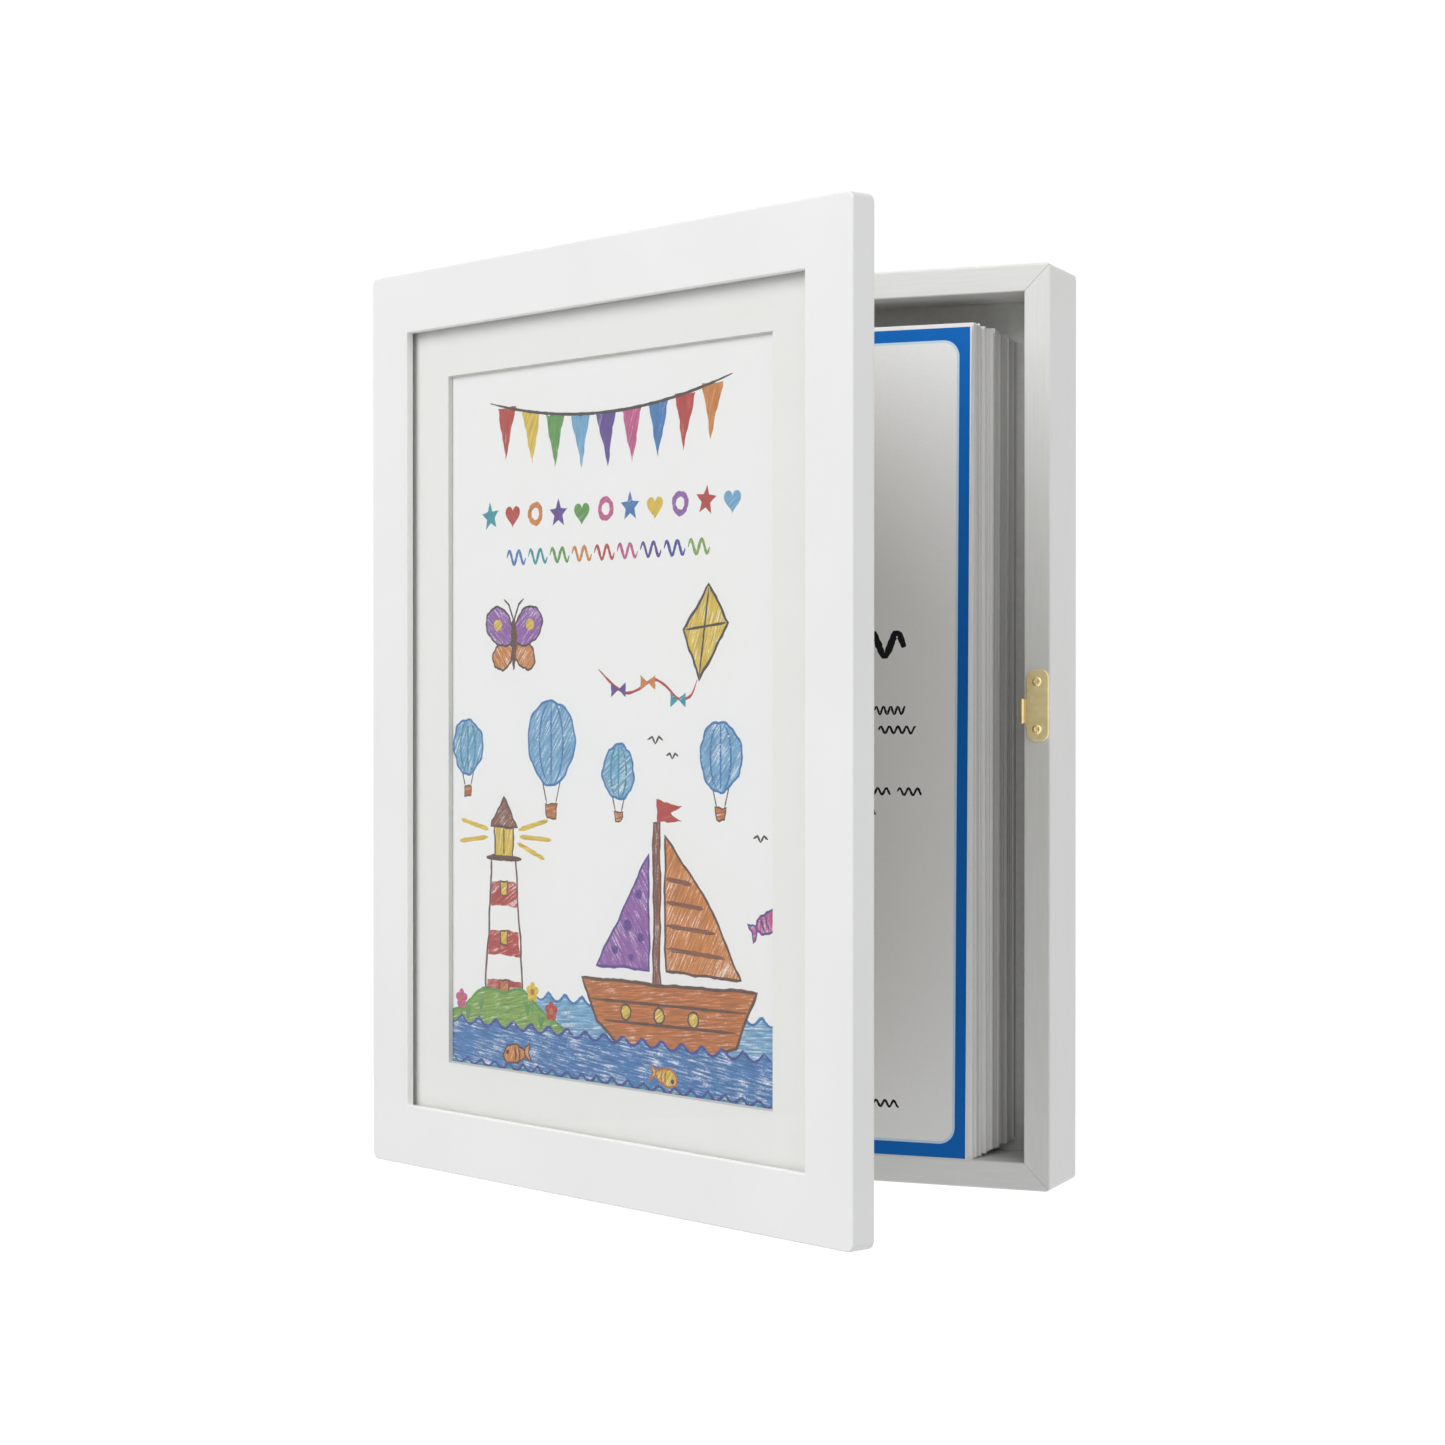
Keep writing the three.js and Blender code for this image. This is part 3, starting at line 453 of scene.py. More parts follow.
def makeHardboard():
    # pressed hardboard, screen side out: brown fibre with the press screen's woven print, which is
    # a sine wave across times one along, 1.4 mm from crest to crest
    sheen = {"Specular IOR Level": 0.3}
    material, tree, shader = newMaterial("pressedHardboard", "#8A6C4C", 0.85, sheen)
    fibre = blotches(tree, 0.9, 5, 0.65, (1, 1, 0.35))
    colour = coat(tree, "#7C5E42", "#A98A65", fibre, 0.3, 0.72)
    colour = coat(tree, colour, "#8B6C4D", blotches(tree, 14, 3), most=0.45)
    place = addNode(tree, "ShaderNodeTexCoord").outputs["Object"]
    turns = {"operation": "SCALE", "Scale": fullTurn / (1.4 * mm)}
    phase = addNode(tree, "ShaderNodeVectorMath", turns, {0: place}).outputs["Vector"]
    waves = addNode(tree, "ShaderNodeVectorMath", {"operation": "SINE"}, {0: phase})
    split = addNode(tree, "ShaderNodeSeparateXYZ", {}, {0: waves.outputs["Vector"]})
    both = {0: split.outputs["X"], 1: split.outputs["Z"]}
    screen = addNode(tree, "ShaderNodeMath", {"operation": "MULTIPLY"}, both).outputs[0]
    dress(tree, shader, colour, addUp(tree, [(screen, 0.5), (fibre, 0.5)]), 0.12)
    return material


def makeWhiteFacing():
    # the panel's inner side: a thin white foil over the board's soft ripple
    material, tree, shader = newMaterial("foilFacedHardboard", "#D9D9D6", 0.6)
    ripple = blotches(tree, 3, 3)
    dress(tree, shader, coat(tree, "#D5D5D2", "#DDDDDA", ripple), ripple, 0.03)
    return material


def makeGreyboard():
    # recycled greyboard behind the picture: grey-brown pulp with darker flecks
    sheen = {"Specular IOR Level": 0.25}
    material, tree, shader = newMaterial("recycledGreyboard", "#9B8E7C", 0.9, sheen)
    pulp = blotches(tree, 1.1, 5, 0.65)
    colour = coat(tree, "#887B69", "#A99C89", pulp)
    colour = coat(tree, colour, "#5E5446", blotches(tree, 0.7, 2), 0.66, 0.72, 0.6)
    dress(tree, shader, colour, pulp, 0.06)
    return material


finishes = {
    "lacquer": makeLacquer(),
    "uprightLacquer": makeBrushedLacquer("brushedLacquerUpright", (1, 1, 0.05)),
    "levelLacquer": makeBrushedLacquer("brushedLacquerLevel", (0.05, 1, 1)),
    "acrylic": makeAcrylic(),
    "mat": makeMatCard("pressedMountCard", "#F1F1ED", "#EAEAE5"),
    # the bevel's grey card is painted shade along the window's edge
    "matBevelShade": makeMatCard("mountCardBevelShade", "#D3D3CE", "#C9C9C4"),
    "crayonPrint": makeCrayonPrint(),
    "coverPrint": makeCoverPrint(),
    "paper": makeDrawingPaper(),
    "brass": makeBrass(),
    "zinc": makeZinc(),
    "hardboard": makeHardboard(),
    "facing": makeWhiteFacing(),
    "greyboard": makeGreyboard(),
}
print("stage: finishes made,", len(finishes))


# Door

door = {
    "halfWidth": 132.5,
    "halfHeight": 168,
    "frontY": -45.6,
    "thickness": 10,
    "faceWidth": 22.5,
    "lipDepth": 2.72,
    "lipWidth": 6,
    "frontRadius": 0.6,
    "innerRadius": 0.4,
    "backRadius": 1.1,
    "cornerRadius": 2.8,
}


def doorProfile():
    # the rail's section from its outer edge inwards: rounded face, lip, and the rebate behind it
    front, inner, back = door["frontRadius"], door["innerRadius"], door["backRadius"]
    width, thickness = door["faceWidth"], door["thickness"]
    rebate = width - door["lipWidth"]
    parts = [
        arcPoints((front, front), front, 2, 3, 4),
        arcPoints((width - inner, inner), inner, 3, 4, 3),
        [(width, door["lipDepth"]), (rebate, door["lipDepth"]), (rebate, thickness)],
        arcPoints((back, thickness - back), back, 1, 2, 4),
    ]
    profile = np.concatenate(parts)
    profile[:, 1] += door["frontY"]
    return profile


def addDoorFrame():
    # four rails, filled and sprayed as one, so no mitre shows
    rings = ringsOf(
        door["halfWidth"], door["halfHeight"], doorProfile(), doorMiddle, door["cornerRadius"]
    )
    rails = ["door_top_rail", "door_bottom_rail", "door_left_rail", "door_right_rail"]
    surface = opened(ringStack(rings, closed=True))
    addPiece("doorFrame", surface, [finishes["lacquer"]], "door", rails)


addDoorFrame()

picture = {
    "halfWidth": 115.7,
    "halfHeight": 151.2,
    "glazing": (-42.8, -41.3),
    "mat": (-41.0, -39.6),
    "print": (-39.3, -39.0),
    "board": (-38.7, -35.7),
    "windowHalfWidth": 89.8,
    "windowHalfHeight": 127.9,
    "cornerRadius": 0.5,
    "windowRadii": (0.08, 0.06),
    "bevel": 0.55,
    "edge": 0.12,
}


def boardSurface(halfWidth, halfHeight, y0, y1, middle, edge=0.12, cornerRadius=0.6):
    # a flat board: four rounded rectangles, the outer two pulled in by a small edge break
    profile = [(edge, y0), (0, y0 + edge), (0, y1 - edge), (edge, y1)]
    return ringStack(ringsOf(halfWidth, halfHeight, profile, middle, cornerRadius, steps=2))


def matSurface():
    # six rounded rectangles round the card's section: its front, the window's sharp front and rear
    # edges with the bevel between them, its rear, and the outer edge with its small breaks
    x, z = picture["halfWidth"], picture["halfHeight"]
    windowX, windowZ = picture["windowHalfWidth"], picture["windowHalfHeight"]
    edge, bevel, corner = picture["edge"], picture["bevel"], picture["cornerRadius"]
    (y0, y1), (frontRadius, rearRadius) = picture["mat"], picture["windowRadii"]
    section = [
        (x - edge, z - edge, corner, y0), (windowX, windowZ, frontRadius, y0),
        (windowX - bevel, windowZ - bevel, rearRadius, y1), (x - edge, z - edge, corner, y1),
        (x, z, corner, y1 - edge), (x, z, corner, y0 + edge),
    ]
    rings = np.array([roundedRing(*line, doorMiddle, 1) for line in section])
    return ringStack(rings, closed=True), np.repeat([0, 1, 0, 0, 0, 0], rings.shape[1])


def addPictureLayers():
    # the clear pane, the mat and the backing card; the bevel's grey card finish is painted shade
    # along the window's edge
    size = (picture["halfWidth"], picture["halfHeight"])
    pane = opened(boardSurface(*size, *picture["glazing"], doorMiddle))
    addPiece("clearPane", pane, [finishes["acrylic"]], "door", ["glazing"])
    card, bevelFaces = matSurface()
    addPiece(
        "bevelledMat", opened(card), [finishes["mat"], finishes["matBevelShade"]], "door",
        ["mat_board"], faceFinish=bevelFaces,
    )
    board = opened(boardSurface(*size, *picture["board"], doorMiddle))
    addPiece(
        "backingCard", board, [finishes["greyboard"]], "door", ["backing_board"]
    )


addPictureLayers()
print("stage: door frame and picture layers")


# The drawing behind the mat: invented seaside motifs in wax crayon

wax = {
    "red": "#BE3A30",
    "orange": "#DB8A3A",
    "amber": "#C8742C",
    "yellow": "#EBCB45",
    "green": "#5FA04A",
    "leaf": "#86B04C",
    "teal": "#2E9FB0",
    "sky": "#78B4DC",
    "blue": "#3A7FC0",
    "navy": "#33489C",
    "purple": "#9A62B4",
    "violet": "#5E3F98",
    "pink": "#CF5C94",
    "brown": "#8A5138",
    "bark": "#5B3A2C",
    "ink": "#3A3433",
    "white": "#F3F3F1",
}


def oval(x, z, rx, rz, turn=0.0, count=56):
    # an ellipse round (x, z), turned by an angle in degrees
    angle = np.linspace(0, fullTurn, count, endpoint=False)
    px, pz = rx * np.cos(angle), rz * np.sin(angle)
    c, s = math.cos(math.radians(turn)), math.sin(math.radians(turn))
    return np.stack([x + px * c - pz * s, z + px * s + pz * c], -1)


def star(x, z, outer, inner, tips=5, turn=0.0):
    # a star: its radius goes back and forth between outer and inner round the middle
    angle = np.arange(2 * tips) * math.pi / tips + math.radians(90 + turn)
    radius = np.where(np.arange(2 * tips) % 2 == 0, outer, inner)
    return np.stack([x + radius * np.cos(angle), z + radius * np.sin(angle)], -1)


def heart(x, z, size, count=40):
    # a heart: sine cubed across, a sum of cosines up
    t = np.linspace(0, fullTurn, count, endpoint=False)
    px = 16 * np.sin(t) ** 3
    pz = 13 * np.cos(t) - 5 * np.cos(2 * t) - 2 * np.cos(3 * t) - np.cos(4 * t)
    return np.stack([x - px * size / 17, z + pz * size / 17], -1)


def resampled(outline, pitch=2.0, closed=True):
    # splits every edge longer than the pitch; short edges and corners stay
    line = np.vstack([outline, outline[:1]]) if closed else outline
    gaps = np.hypot(*np.diff(line, axis=0).T)
    parts = []
    for start, end, gap in zip(line[:-1], line[1:], gaps):
        steps = max(1, int(math.ceil(gap / pitch)))
        parts.append(start + (end - start) * np.arange(steps)[:, None] / steps)
    if not closed:
        parts.append(line[-1:])
    return np.concatenate(parts)


def shaky(outline, amount, rng):
    # a child's unsteady line: three slow sine waves with random phases push it in and out
    share = np.arange(len(outline)) / len(outline) * fullTurn
    phase = rng.uniform(0, fullTurn, 3)
    waves = np.sin(3 * share + phase[0]) + 0.7 * np.sin(7 * share + phase[1])
    return outward(outline, amount * (waves + 0.5 * np.sin(13 * share + phase[2])))


def ribbon(path, width, rng, taper=0.35):
    # a stroke: its edges lie half a width either side of the path, uneven and thinner at the ends
    path = resampled(np.asarray(path, float), 1.6, closed=False)
    along = np.gradient(path, axis=0)
    normal = np.stack([-along[:, 1], along[:, 0]], -1)
    normal /= np.maximum(np.hypot(*normal.T), tiny)[:, None]
    share = np.linspace(0, 1, len(path))
    ends = np.minimum(1, taper + 6 * np.minimum(share, 1 - share))
    half = width / 2 * ends * rng.uniform(0.82, 1.18, len(path))
    left, right = path + normal * half[:, None], path - normal * half[:, None]
    return np.concatenate([right, left[::-1]])


class Drawing:
    # a pile of coloured outlines, the last on top: each has a colour, the weight that the crayon is
    # pressed with, and the angle of its hatching
    def __init__(self, seed):
        self.rng = np.random.default_rng(seed)
        self.shapes = []

    def patch(self, outline, colour, weight=1.0, hatch=30.0, shake=0.25):
        # a hatched area without an edge of its own
        line = resampled(np.asarray(outline, float))
        if shake:
            line = shaky(line, shake, self.rng)
        self.shapes.append((line, colour, weight, hatch))

    def inked(self, outline, colour, edge="ink", width=0.8, weight=1.0, hatch=30.0, shake=0.25):
        # a hatched area inside an edge line, which lies half outside the outline and half inside
        line = shaky(resampled(np.asarray(outline, float)), shake, self.rng)
        rim = outward(line, width / 2 * self.rng.uniform(0.7, 1.3, len(line)))
        self.shapes.append((rim, edge, 1.5, hatch + 40))
        inner = outward(line, -width / 2)
        self.shapes.append((inner, colour, weight, hatch))

    def stroke(self, path, width, colour, weight=1.4):
        # a single crayon line
        self.shapes.append((ribbon(path, width, self.rng), colour, weight, 0.0))


def sagPath(x0, x1, z, sag, count=24):
    # a string hung between two points: a parabola that sags in the middle
    t = np.linspace(-1, 1, count)
    x = x0 + (x1 - x0) * (t + 1) / 2
    return np.stack([x, z - sag * (1 - t ** 2)], -1)


def wavePath(x0, x1, z, height, pitch, lean=0.0):
    # a sine wave from x0 to x1
    x = np.linspace(x0, x1, int(abs(x1 - x0) / pitch * 12) + 8)
    wave = height * np.sin((x - x0) / pitch * fullTurn)
    return np.stack([x, z + lean * (x - x0) + wave], -1)


bunting = {
    "from": -66, "to": 68, "height": 116, "sag": 8, "inset": 10, "flagHalf": 5.4, "flagDrop": 19,
    "colours": ["red", "yellow", "green", "sky", "violet", "pink", "blue", "red", "orange"],
}
beads = {
    "from": -66, "to": 68, "height": 74, "star": (5.4, 2.4), "heart": 4.6, "ring": 4.3, "hole": 2.2,
    "colours": [
        "teal", "red", "orange", "violet", "green", "pink", "blue", "yellow", "purple", "red", "sky",
    ],
}
squiggles = {
    "from": -56, "to": 58, "height": 59, "rise": 2.4, "pitch": 5.6, "gap": 1.6,
    "colours": ["blue", "teal", "green", "orange", "red", "pink", "violet", "navy", "leaf"],
}


def drawBunting(art):
    # flags on a sagging string across the top
    k = bunting
    string = sagPath(k["from"], k["to"], k["height"], k["sag"])
    centres = np.linspace(k["from"] + k["inset"], k["to"] - k["inset"], len(k["colours"]))
    for x, colour in zip(centres, k["colours"]):
        top = np.interp(x, string[:, 0], string[:, 1])
        tip = (x + art.rng.uniform(-1.2, 1.2), top - k["flagDrop"])
        flag = [(x - k["flagHalf"], top), (x + k["flagHalf"], top), tip]
        art.patch(flag, colour, 1.15, art.rng.uniform(60, 110))
    art.stroke(string, 1.1, "ink")


def drawBeads(art):
    # a row of stars, hearts and rings under the flags, and a row of squiggles below it
    k = beads
    places = np.linspace(k["from"], k["to"], len(k["colours"]))
    for number, (x, colour) in enumerate(zip(places, k["colours"])):
        z = k["height"] + art.rng.uniform(-0.8, 0.8)
        if number % 3 == 0:
            shape = star(x, z, *k["star"], turn=art.rng.uniform(-15, 15))
            art.patch(shape, colour, 1.2, shake=0.1)
        elif number % 3 == 1:
            art.patch(heart(x, z, k["heart"]), colour, 1.2, shake=0.0)
        else:
            art.patch(oval(x, z, k["ring"], k["ring"]), colour, 1.2, shake=0.15)
            art.patch(oval(x, z, k["hole"], k["hole"]), "white", 0.0, shake=0.1)
    k = squiggles
    ends = np.linspace(k["from"], k["to"], len(k["colours"]) + 1)
    for start, end, colour in zip(ends[:-1], ends[1:], k["colours"]):
        art.stroke(wavePath(start, end - k["gap"], k["height"], k["rise"], k["pitch"]), 1.3, colour)


kite = {
    "sail": [(56, 46), (66, 33), (51, 14), (43, 31)],
    "spars": [[(56, 45), (51, 15)], [(44, 31), (65, 33)]],
    "tail": [(50, 14), (47, 8), (40, 7), (34, 12), (27, 15), (20, 11), (12, 9), (4, 13), (-3, 18)],
    "bows": [(40, 7.2, "teal"), (24, 13.2, "orange"), (8, 10.8, "violet")],
    "bowSize": (4, 2.6),
}


def drawKite(art):
    # a kite on the right; its tail's corners are eased by averaging neighbours
    tail = np.array(kite["tail"])
    t, corners = np.linspace(0, len(tail) - 1, 60), np.arange(len(tail))
    smooth = np.stack([np.interp(t, corners, tail[:, axis]) for axis in (0, 1)], -1)
    for _ in range(6):
        smooth[1:-1] = (smooth[:-2] + smooth[1:-1] + smooth[2:]) / 3
    art.stroke(smooth, 1.0, "red")
    length, half = kite["bowSize"]
    for x, z, colour in kite["bows"]:
        for end in (x - length, x + length):
            art.patch([(x, z), (end, z + half), (end, z - half)], colour, 1.2, shake=0.1)
    art.inked(kite["sail"], "yellow", width=1.1, hatch=70)
    for spar in kite["spars"]:
        art.stroke(spar, 0.9, "ink")


butterfly = {
    "x": -52,
    "wings": [
        (6.6, 23.5, 6.2, 4.8, -30, "orange", 50), (8.5, 34, 8.6, 6.4, 32, "purple", 40),
    ],
    "spot": (9.6, 34.6, 2.4, 2.0),
    "feeler": [(0, 36), (3, 42), (6, 44)],
    "body": (28, 1.6, 9.4),
}


def drawButterfly(art):
    # a butterfly on the left, both sides alike. A wing is its distance from the body, its height,
    # half width and half height, and then its turn, colour and hatching
    k, x = butterfly, butterfly["x"]
    for side in (-1, 1):
        for away, z, rx, rz, turn, colour, hatch in k["wings"]:
            wing = oval(x + side * away, z, rx, rz, side * turn)
            art.inked(wing, colour, hatch=side * hatch)
        away, *spot = k["spot"]
        art.patch(oval(x + side * away, *spot), "yellow", 1.2, shake=0.1)
        art.stroke([(x + side * away, z) for away, z in k["feeler"]], 0.8, "ink")
    art.patch(oval(x, *k["body"]), "bark", 1.3, 80)


# A balloon's measures, as shares of its radius
balloonShape = {
    "height": 1.12,
    "neck": 0.16,
    "gores": (-0.5, 0.0, 0.5),
    "goreHeight": 1.1,
    "goreEnd": 0.94,
    "ropes": (-0.42, 0.42),
    "ropeTop": 0.9,
    "ropeMeet": 0.45,
    "basketTop": 1.62,
    "basketHeight": 0.4,
    "basketHalf": (0.26, 0.2),
}


def drawBalloon(art, x, z, size, stripe):
    # a hot-air balloon: a circle drawn in towards its neck, darker gores and a small basket
    k = balloonShape
    top = z - size * k["basketTop"]
    end = top - size * k["basketHeight"]
    for side in k["ropes"]:
        rope = [(x + side * size, z - size * k["ropeTop"]), (x + side * size * k["ropeMeet"], top)]
        art.stroke(rope, 0.6, "ink")
    wide, narrow = k["basketHalf"]
    basket = [
        (x - size * wide, top), (x + size * wide, top),
        (x + size * narrow, end), (x - size * narrow, end),
    ]
    art.inked(basket, "amber", "bark", 0.6, hatch=10)
    angle = np.linspace(0, fullTurn, 60, endpoint=False)
    neck = 1 - k["neck"] * np.maximum(0, -np.sin(angle)) ** 2
    rise = size * k["height"] * np.sin(angle)
    envelope = np.stack([x + size * np.cos(angle) * neck, z + rise], -1)
    art.inked(envelope, "sky", "blue", 0.9, 0.95, art.rng.uniform(20, 70), 0.35)
    for share in k["gores"]:
        t = np.linspace(-k["goreEnd"], k["goreEnd"], 14)
        bow = share * size * np.sqrt(1 - t ** 2)
        art.stroke(np.stack([x + bow, z + size * k["goreHeight"] * t], -1), 0.9, stripe, 1.1)


def drawBird(art, x, z, size):
    # a gull: two short bent strokes
    art.stroke([(x - size, z + size * 0.35), (x - size * 0.4, z + size * 0.6), (x, z)], 0.9, "ink")
    art.stroke([(x, z), (x + size * 0.45, z + size * 0.62), (x + size, z + size * 0.3)], 0.9, "ink")


lighthouse = {
    "x": -58,
    "lampZ": -42,
    "beams": [(-26, 5), (-27, -3), (26, 6), (28, -1), (24, -8)],
    "towerZ": (-104, -50),
    "towerHalf": (11.5, 7.2),
    "bands": 6,
    "bandInsets": (0.6, 0.5),
    "door": (2.6, -104, -95),
    "windows": [(2, -82, -77), (2, -64, -59)],
    "room": (5.5, -50, -39),
    "glazingBar": (-49.5, -39.5),
    "gallery": (10.5, -50.5),
    "roof": (8, -39, -28),
}


def upright(x, half, low, high, topHalf=None):
    # four corners of a post round x: it may narrow to another half width at its top
    top = half if topHalf is None else topHalf
    return [(x - half, low), (x + half, low), (x + top, high), (x - top, high)]


def drawLighthouse(art):
    # a striped tower that narrows upwards, with a lit room, a roof and yellow beams
    k, x = lighthouse, lighthouse["x"]
    for dx, dz in k["beams"]:
        start = 0.34 if dx > 0 else 0.36
        beam = [(x + dx * start, k["lampZ"] + dz * start), (x + dx, k["lampZ"] + dz)]
        art.stroke(beam, 1.7, "yellow", 1.2)
    levels = np.linspace(*k["towerZ"], k["bands"] + 1)
    halves = np.interp(levels, k["towerZ"], k["towerHalf"])
    tower = upright(x, halves[0], levels[0], levels[-1], halves[-1])
    art.inked(tower, "white", "bark", 1.0, 0.0)
    lowInset, highInset = k["bandInsets"]
    for band in range(0, k["bands"], 2):
        low, high = halves[band] - lowInset, halves[band + 1] - highInset
        stripe = upright(x, low, levels[band], levels[band + 1], high)
        art.patch(stripe, "red", 1.0, 8 + 5 * band)
    art.inked(upright(x, *k["door"]), "amber", "bark", 0.7)
    for window in k["windows"]:
        art.inked(upright(x, *window), "yellow", "bark", 0.7)
    art.inked(upright(x, *k["room"]), "yellow", "bark", 0.9, hatch=80)
    art.stroke([(x, z) for z in k["glazingBar"]], 0.7, "bark")
    half, z = k["gallery"]
    art.stroke([(x - half, z), (x + half, z)], 2.0, "bark")
    half, eaves, tip = k["roof"]
    art.inked([(x - half, eaves), (x + half, eaves), (x, tip)], "brown", "bark", 0.9, hatch=40)


island = {
    "from": -99, "to": -17, "shore": -118, "rise": 20, "ripple": 1.2, "foot": -131,
    "tufts": (-88, -80, -72, -44, -36, -28),
    "tuftSink": (6, 11),
    "blades": (-1.6, 0.2, 1.8),
    "bladeHeight": 5.5,
    "flowers": ((-84, "pink"), (-41, "yellow"), (-30, "red")),
    "flowerRise": 3,
    "stem": 8,
    "petals": 5,
    "petal": (2.2, 1.5),
    "eye": 1.2,
}


def drawIsland(art):
    # a grassy island, its ridge half a sine wave with ripples on it, with tufts and flowers
    k = island
    t = np.linspace(0, 1, 30)
    height = k["shore"] + k["rise"] * np.sin(math.pi * t) ** 0.8 + k["ripple"] * np.sin(22 * t)
    ridge = np.stack([k["from"] + (k["to"] - k["from"]) * t, height], -1)
    land = np.vstack([ridge, [(k["to"], k["foot"]), (k["from"], k["foot"])]])
    art.inked(land, "leaf", "green", 1.1, 1.05, 12)
    for x in k["tufts"]:
        z = np.interp(x, *ridge.T) - art.rng.uniform(*k["tuftSink"])
        for lean in k["blades"]:
            art.stroke([(x, z), (x + lean, z + k["bladeHeight"])], 1.0, "green")
    reach, radius = k["petal"]
    for x, colour in k["flowers"]:
        z = np.interp(x, *ridge.T) + k["flowerRise"]
        art.stroke([(x, z - k["stem"]), (x, z)], 0.9, "green")
        for angle in np.arange(k["petals"]) * fullTurn / k["petals"] + 0.3:
            px, pz = x + reach * math.cos(angle), z + reach * math.sin(angle)
            art.patch(oval(px, pz, radius, radius, count=16), colour, 1.3, shake=0)
        art.patch(oval(x, z, k["eye"], k["eye"], count=14), "amber", 1.4, shake=0)


boat = {
    "mast": [(27, -35), (30.5, -35), (30.5, -92), (27, -92)],
    "mainSail": [(33, -39), (33.5, -86), (72, -86), (58, -64)],
    "seams": [(-78, 64), (-70, 59), (-62, 53), (-54, 47)],
    "seamStart": 34,
    "seamFall": 1.4,
    "foreSail": [(24.5, -46), (24.5, -86), (-4, -86)],
    "spots": [(19, -60, 1.9), (13, -71, 2.2), (20, -75, 1.8), (6, -80, 1.8), (15, -82, 1.3)],
    "pennant": [(28.8, -35), (28.8, -27), (42, -29), (36, -31.5), (42, -34)],
    "hull": [(-12, -91), (80, -90), (70, -109), (58, -113), (8, -113), (-4, -106)],
    "planks": [[(-7, -98), (75, -97)], [(0, -105), (70, -104)]],
    "portholes": (12, 30, 48),
    "portholeZ": -101.3,
    "portholeRadius": 2.7,
}


def drawBoat(art):
    # a toy sailing boat with one mast, right of the middle
    k = boat
    art.inked(k["mast"], "brown", "bark", 0.8, hatch=90)
    art.inked(k["mainSail"], "orange", "bark", 1.0, hatch=58)
    for z, end in k["seams"]:
        art.stroke([(k["seamStart"], z), (end, z - k["seamFall"])], 1.6, "brown", 1.2)
    art.inked(k["foreSail"], "purple", "violet", 1.0, hatch=130)
    for x, z, r in k["spots"]:
        art.patch(oval(x, z, r, r * 0.9, count=22), "violet", 1.4, shake=0.1)
    art.patch(k["pennant"], "red", 1.2, 12)
    art.inked(k["hull"], "amber", "bark", 1.2, 1.1, 6)
    for plank in k["planks"]:
        art.stroke(plank, 1.0, "bark")
    radius = k["portholeRadius"]
    for x in k["portholes"]:
        porthole = oval(x, k["portholeZ"], radius, radius, count=26)
        art.inked(porthole, "yellow", "bark", 0.8, shake=0.1)


seas = {
    "far": {
        "colours": ("sky", "blue"), "top": -99, "crest": 1.6, "pitch": 9.5,
        "from": -46, "shift": 3, "hatch": 4,
    },
    "middle": {
        "colours": ("blue", "navy"), "top": -111, "crest": 1.7, "pitch": 10.5,
        "from": -96, "shift": 0, "hatch": -5,
    },
    "near": {
        "colours": ("teal", "navy"), "top": -126, "crest": 1.4, "pitch": 8.5,
        "from": -96, "shift": 4, "hatch": 3,
    },
}


def drawSea(art, k):
    # a band of sea: its crests are a sine wave's absolute value turned over, so they are pointed
    end, foot = 96, -133
    x = np.linspace(k["from"], end, 110)
    wave = 1 - 2 * np.abs(np.sin((x + k["shift"]) / k["pitch"] * math.pi))
    line = np.stack([x, k["top"] + k["crest"] * wave], -1)
    fill, edge = k["colours"]
    band = np.vstack([line, [(end, foot), (k["from"], foot)]])
    art.patch(band, fill, 0.95, k["hatch"], shake=0.0)
    art.stroke(line, 1.1, edge, 1.2)


def drawFish(art, x, z, size, turn, colour, edge):
    # a striped fish: an oval body and a forked tail
    c, s = math.cos(math.radians(turn)), math.sin(math.radians(turn))

    def at(px, pz):
        # a point of the fish, in shares of its size, turned and moved to its place
        return (x + size * (px * c - pz * s), z + size * (px * s + pz * c))

    art.inked([at(0.8, 0), at(1.55, 0.55), at(1.35, 0), at(1.55, -0.55)], colour, edge, 0.7)
    art.inked(oval(x, z, size, size * 0.52, turn), colour, edge, 0.8, hatch=turn + 60)
    for share in (0.1, 0.45):
        art.stroke([at(share, 0.4), at(share + 0.08, 0), at(share, -0.4)], 0.9, edge)
    art.patch(oval(*at(-0.58, 0.14), 0.9, 0.9, count=14), "ink", 1.5, shake=0)


seaside = {
    "halfWidth": 105,
    "halfHeight": 148.5,
    "paper": "#F1F1EF",
    "seed": 11,
    "pitch": 4.0,
    "balloons": [
        (-30, -8, 13.5, "blue"), (8, -18, 8.5, "teal"),
        (62, -12, 10.5, "blue"), (-80, -10, 9, "teal"),
    ],
    "gulls": [(28, -8, 4.2), (37, -13, 3.2), (82, -40, 3.6)],
    "leapingFish": (86, -66, 6.5, 205, "pink", "violet"),
    "swimmingFish": [
        (-52, -121.5, 6.5, 8, "orange", "bark"), (34, -122, 5.6, 172, "yellow", "amber"),
    ],
}


def drawSeaside():
    # every motif in turn, from the back to the front
    art = Drawing(seaside["seed"])
    drawBunting(art)
    drawBeads(art)
    drawKite(art)
    drawButterfly(art)
    for balloon in seaside["balloons"]:
        drawBalloon(art, *balloon)
    for gull in seaside["gulls"]:
        drawBird(art, *gull)
    drawLighthouse(art)
    drawSea(art, seas["far"])
    drawIsland(art)
    drawBoat(art)
    drawFish(art, *seaside["leapingFish"])
    drawSea(art, seas["middle"])
    for fish in seaside["swimmingFish"]:
        drawFish(art, *fish)
    drawSea(art, seas["near"])
    return art.shapes


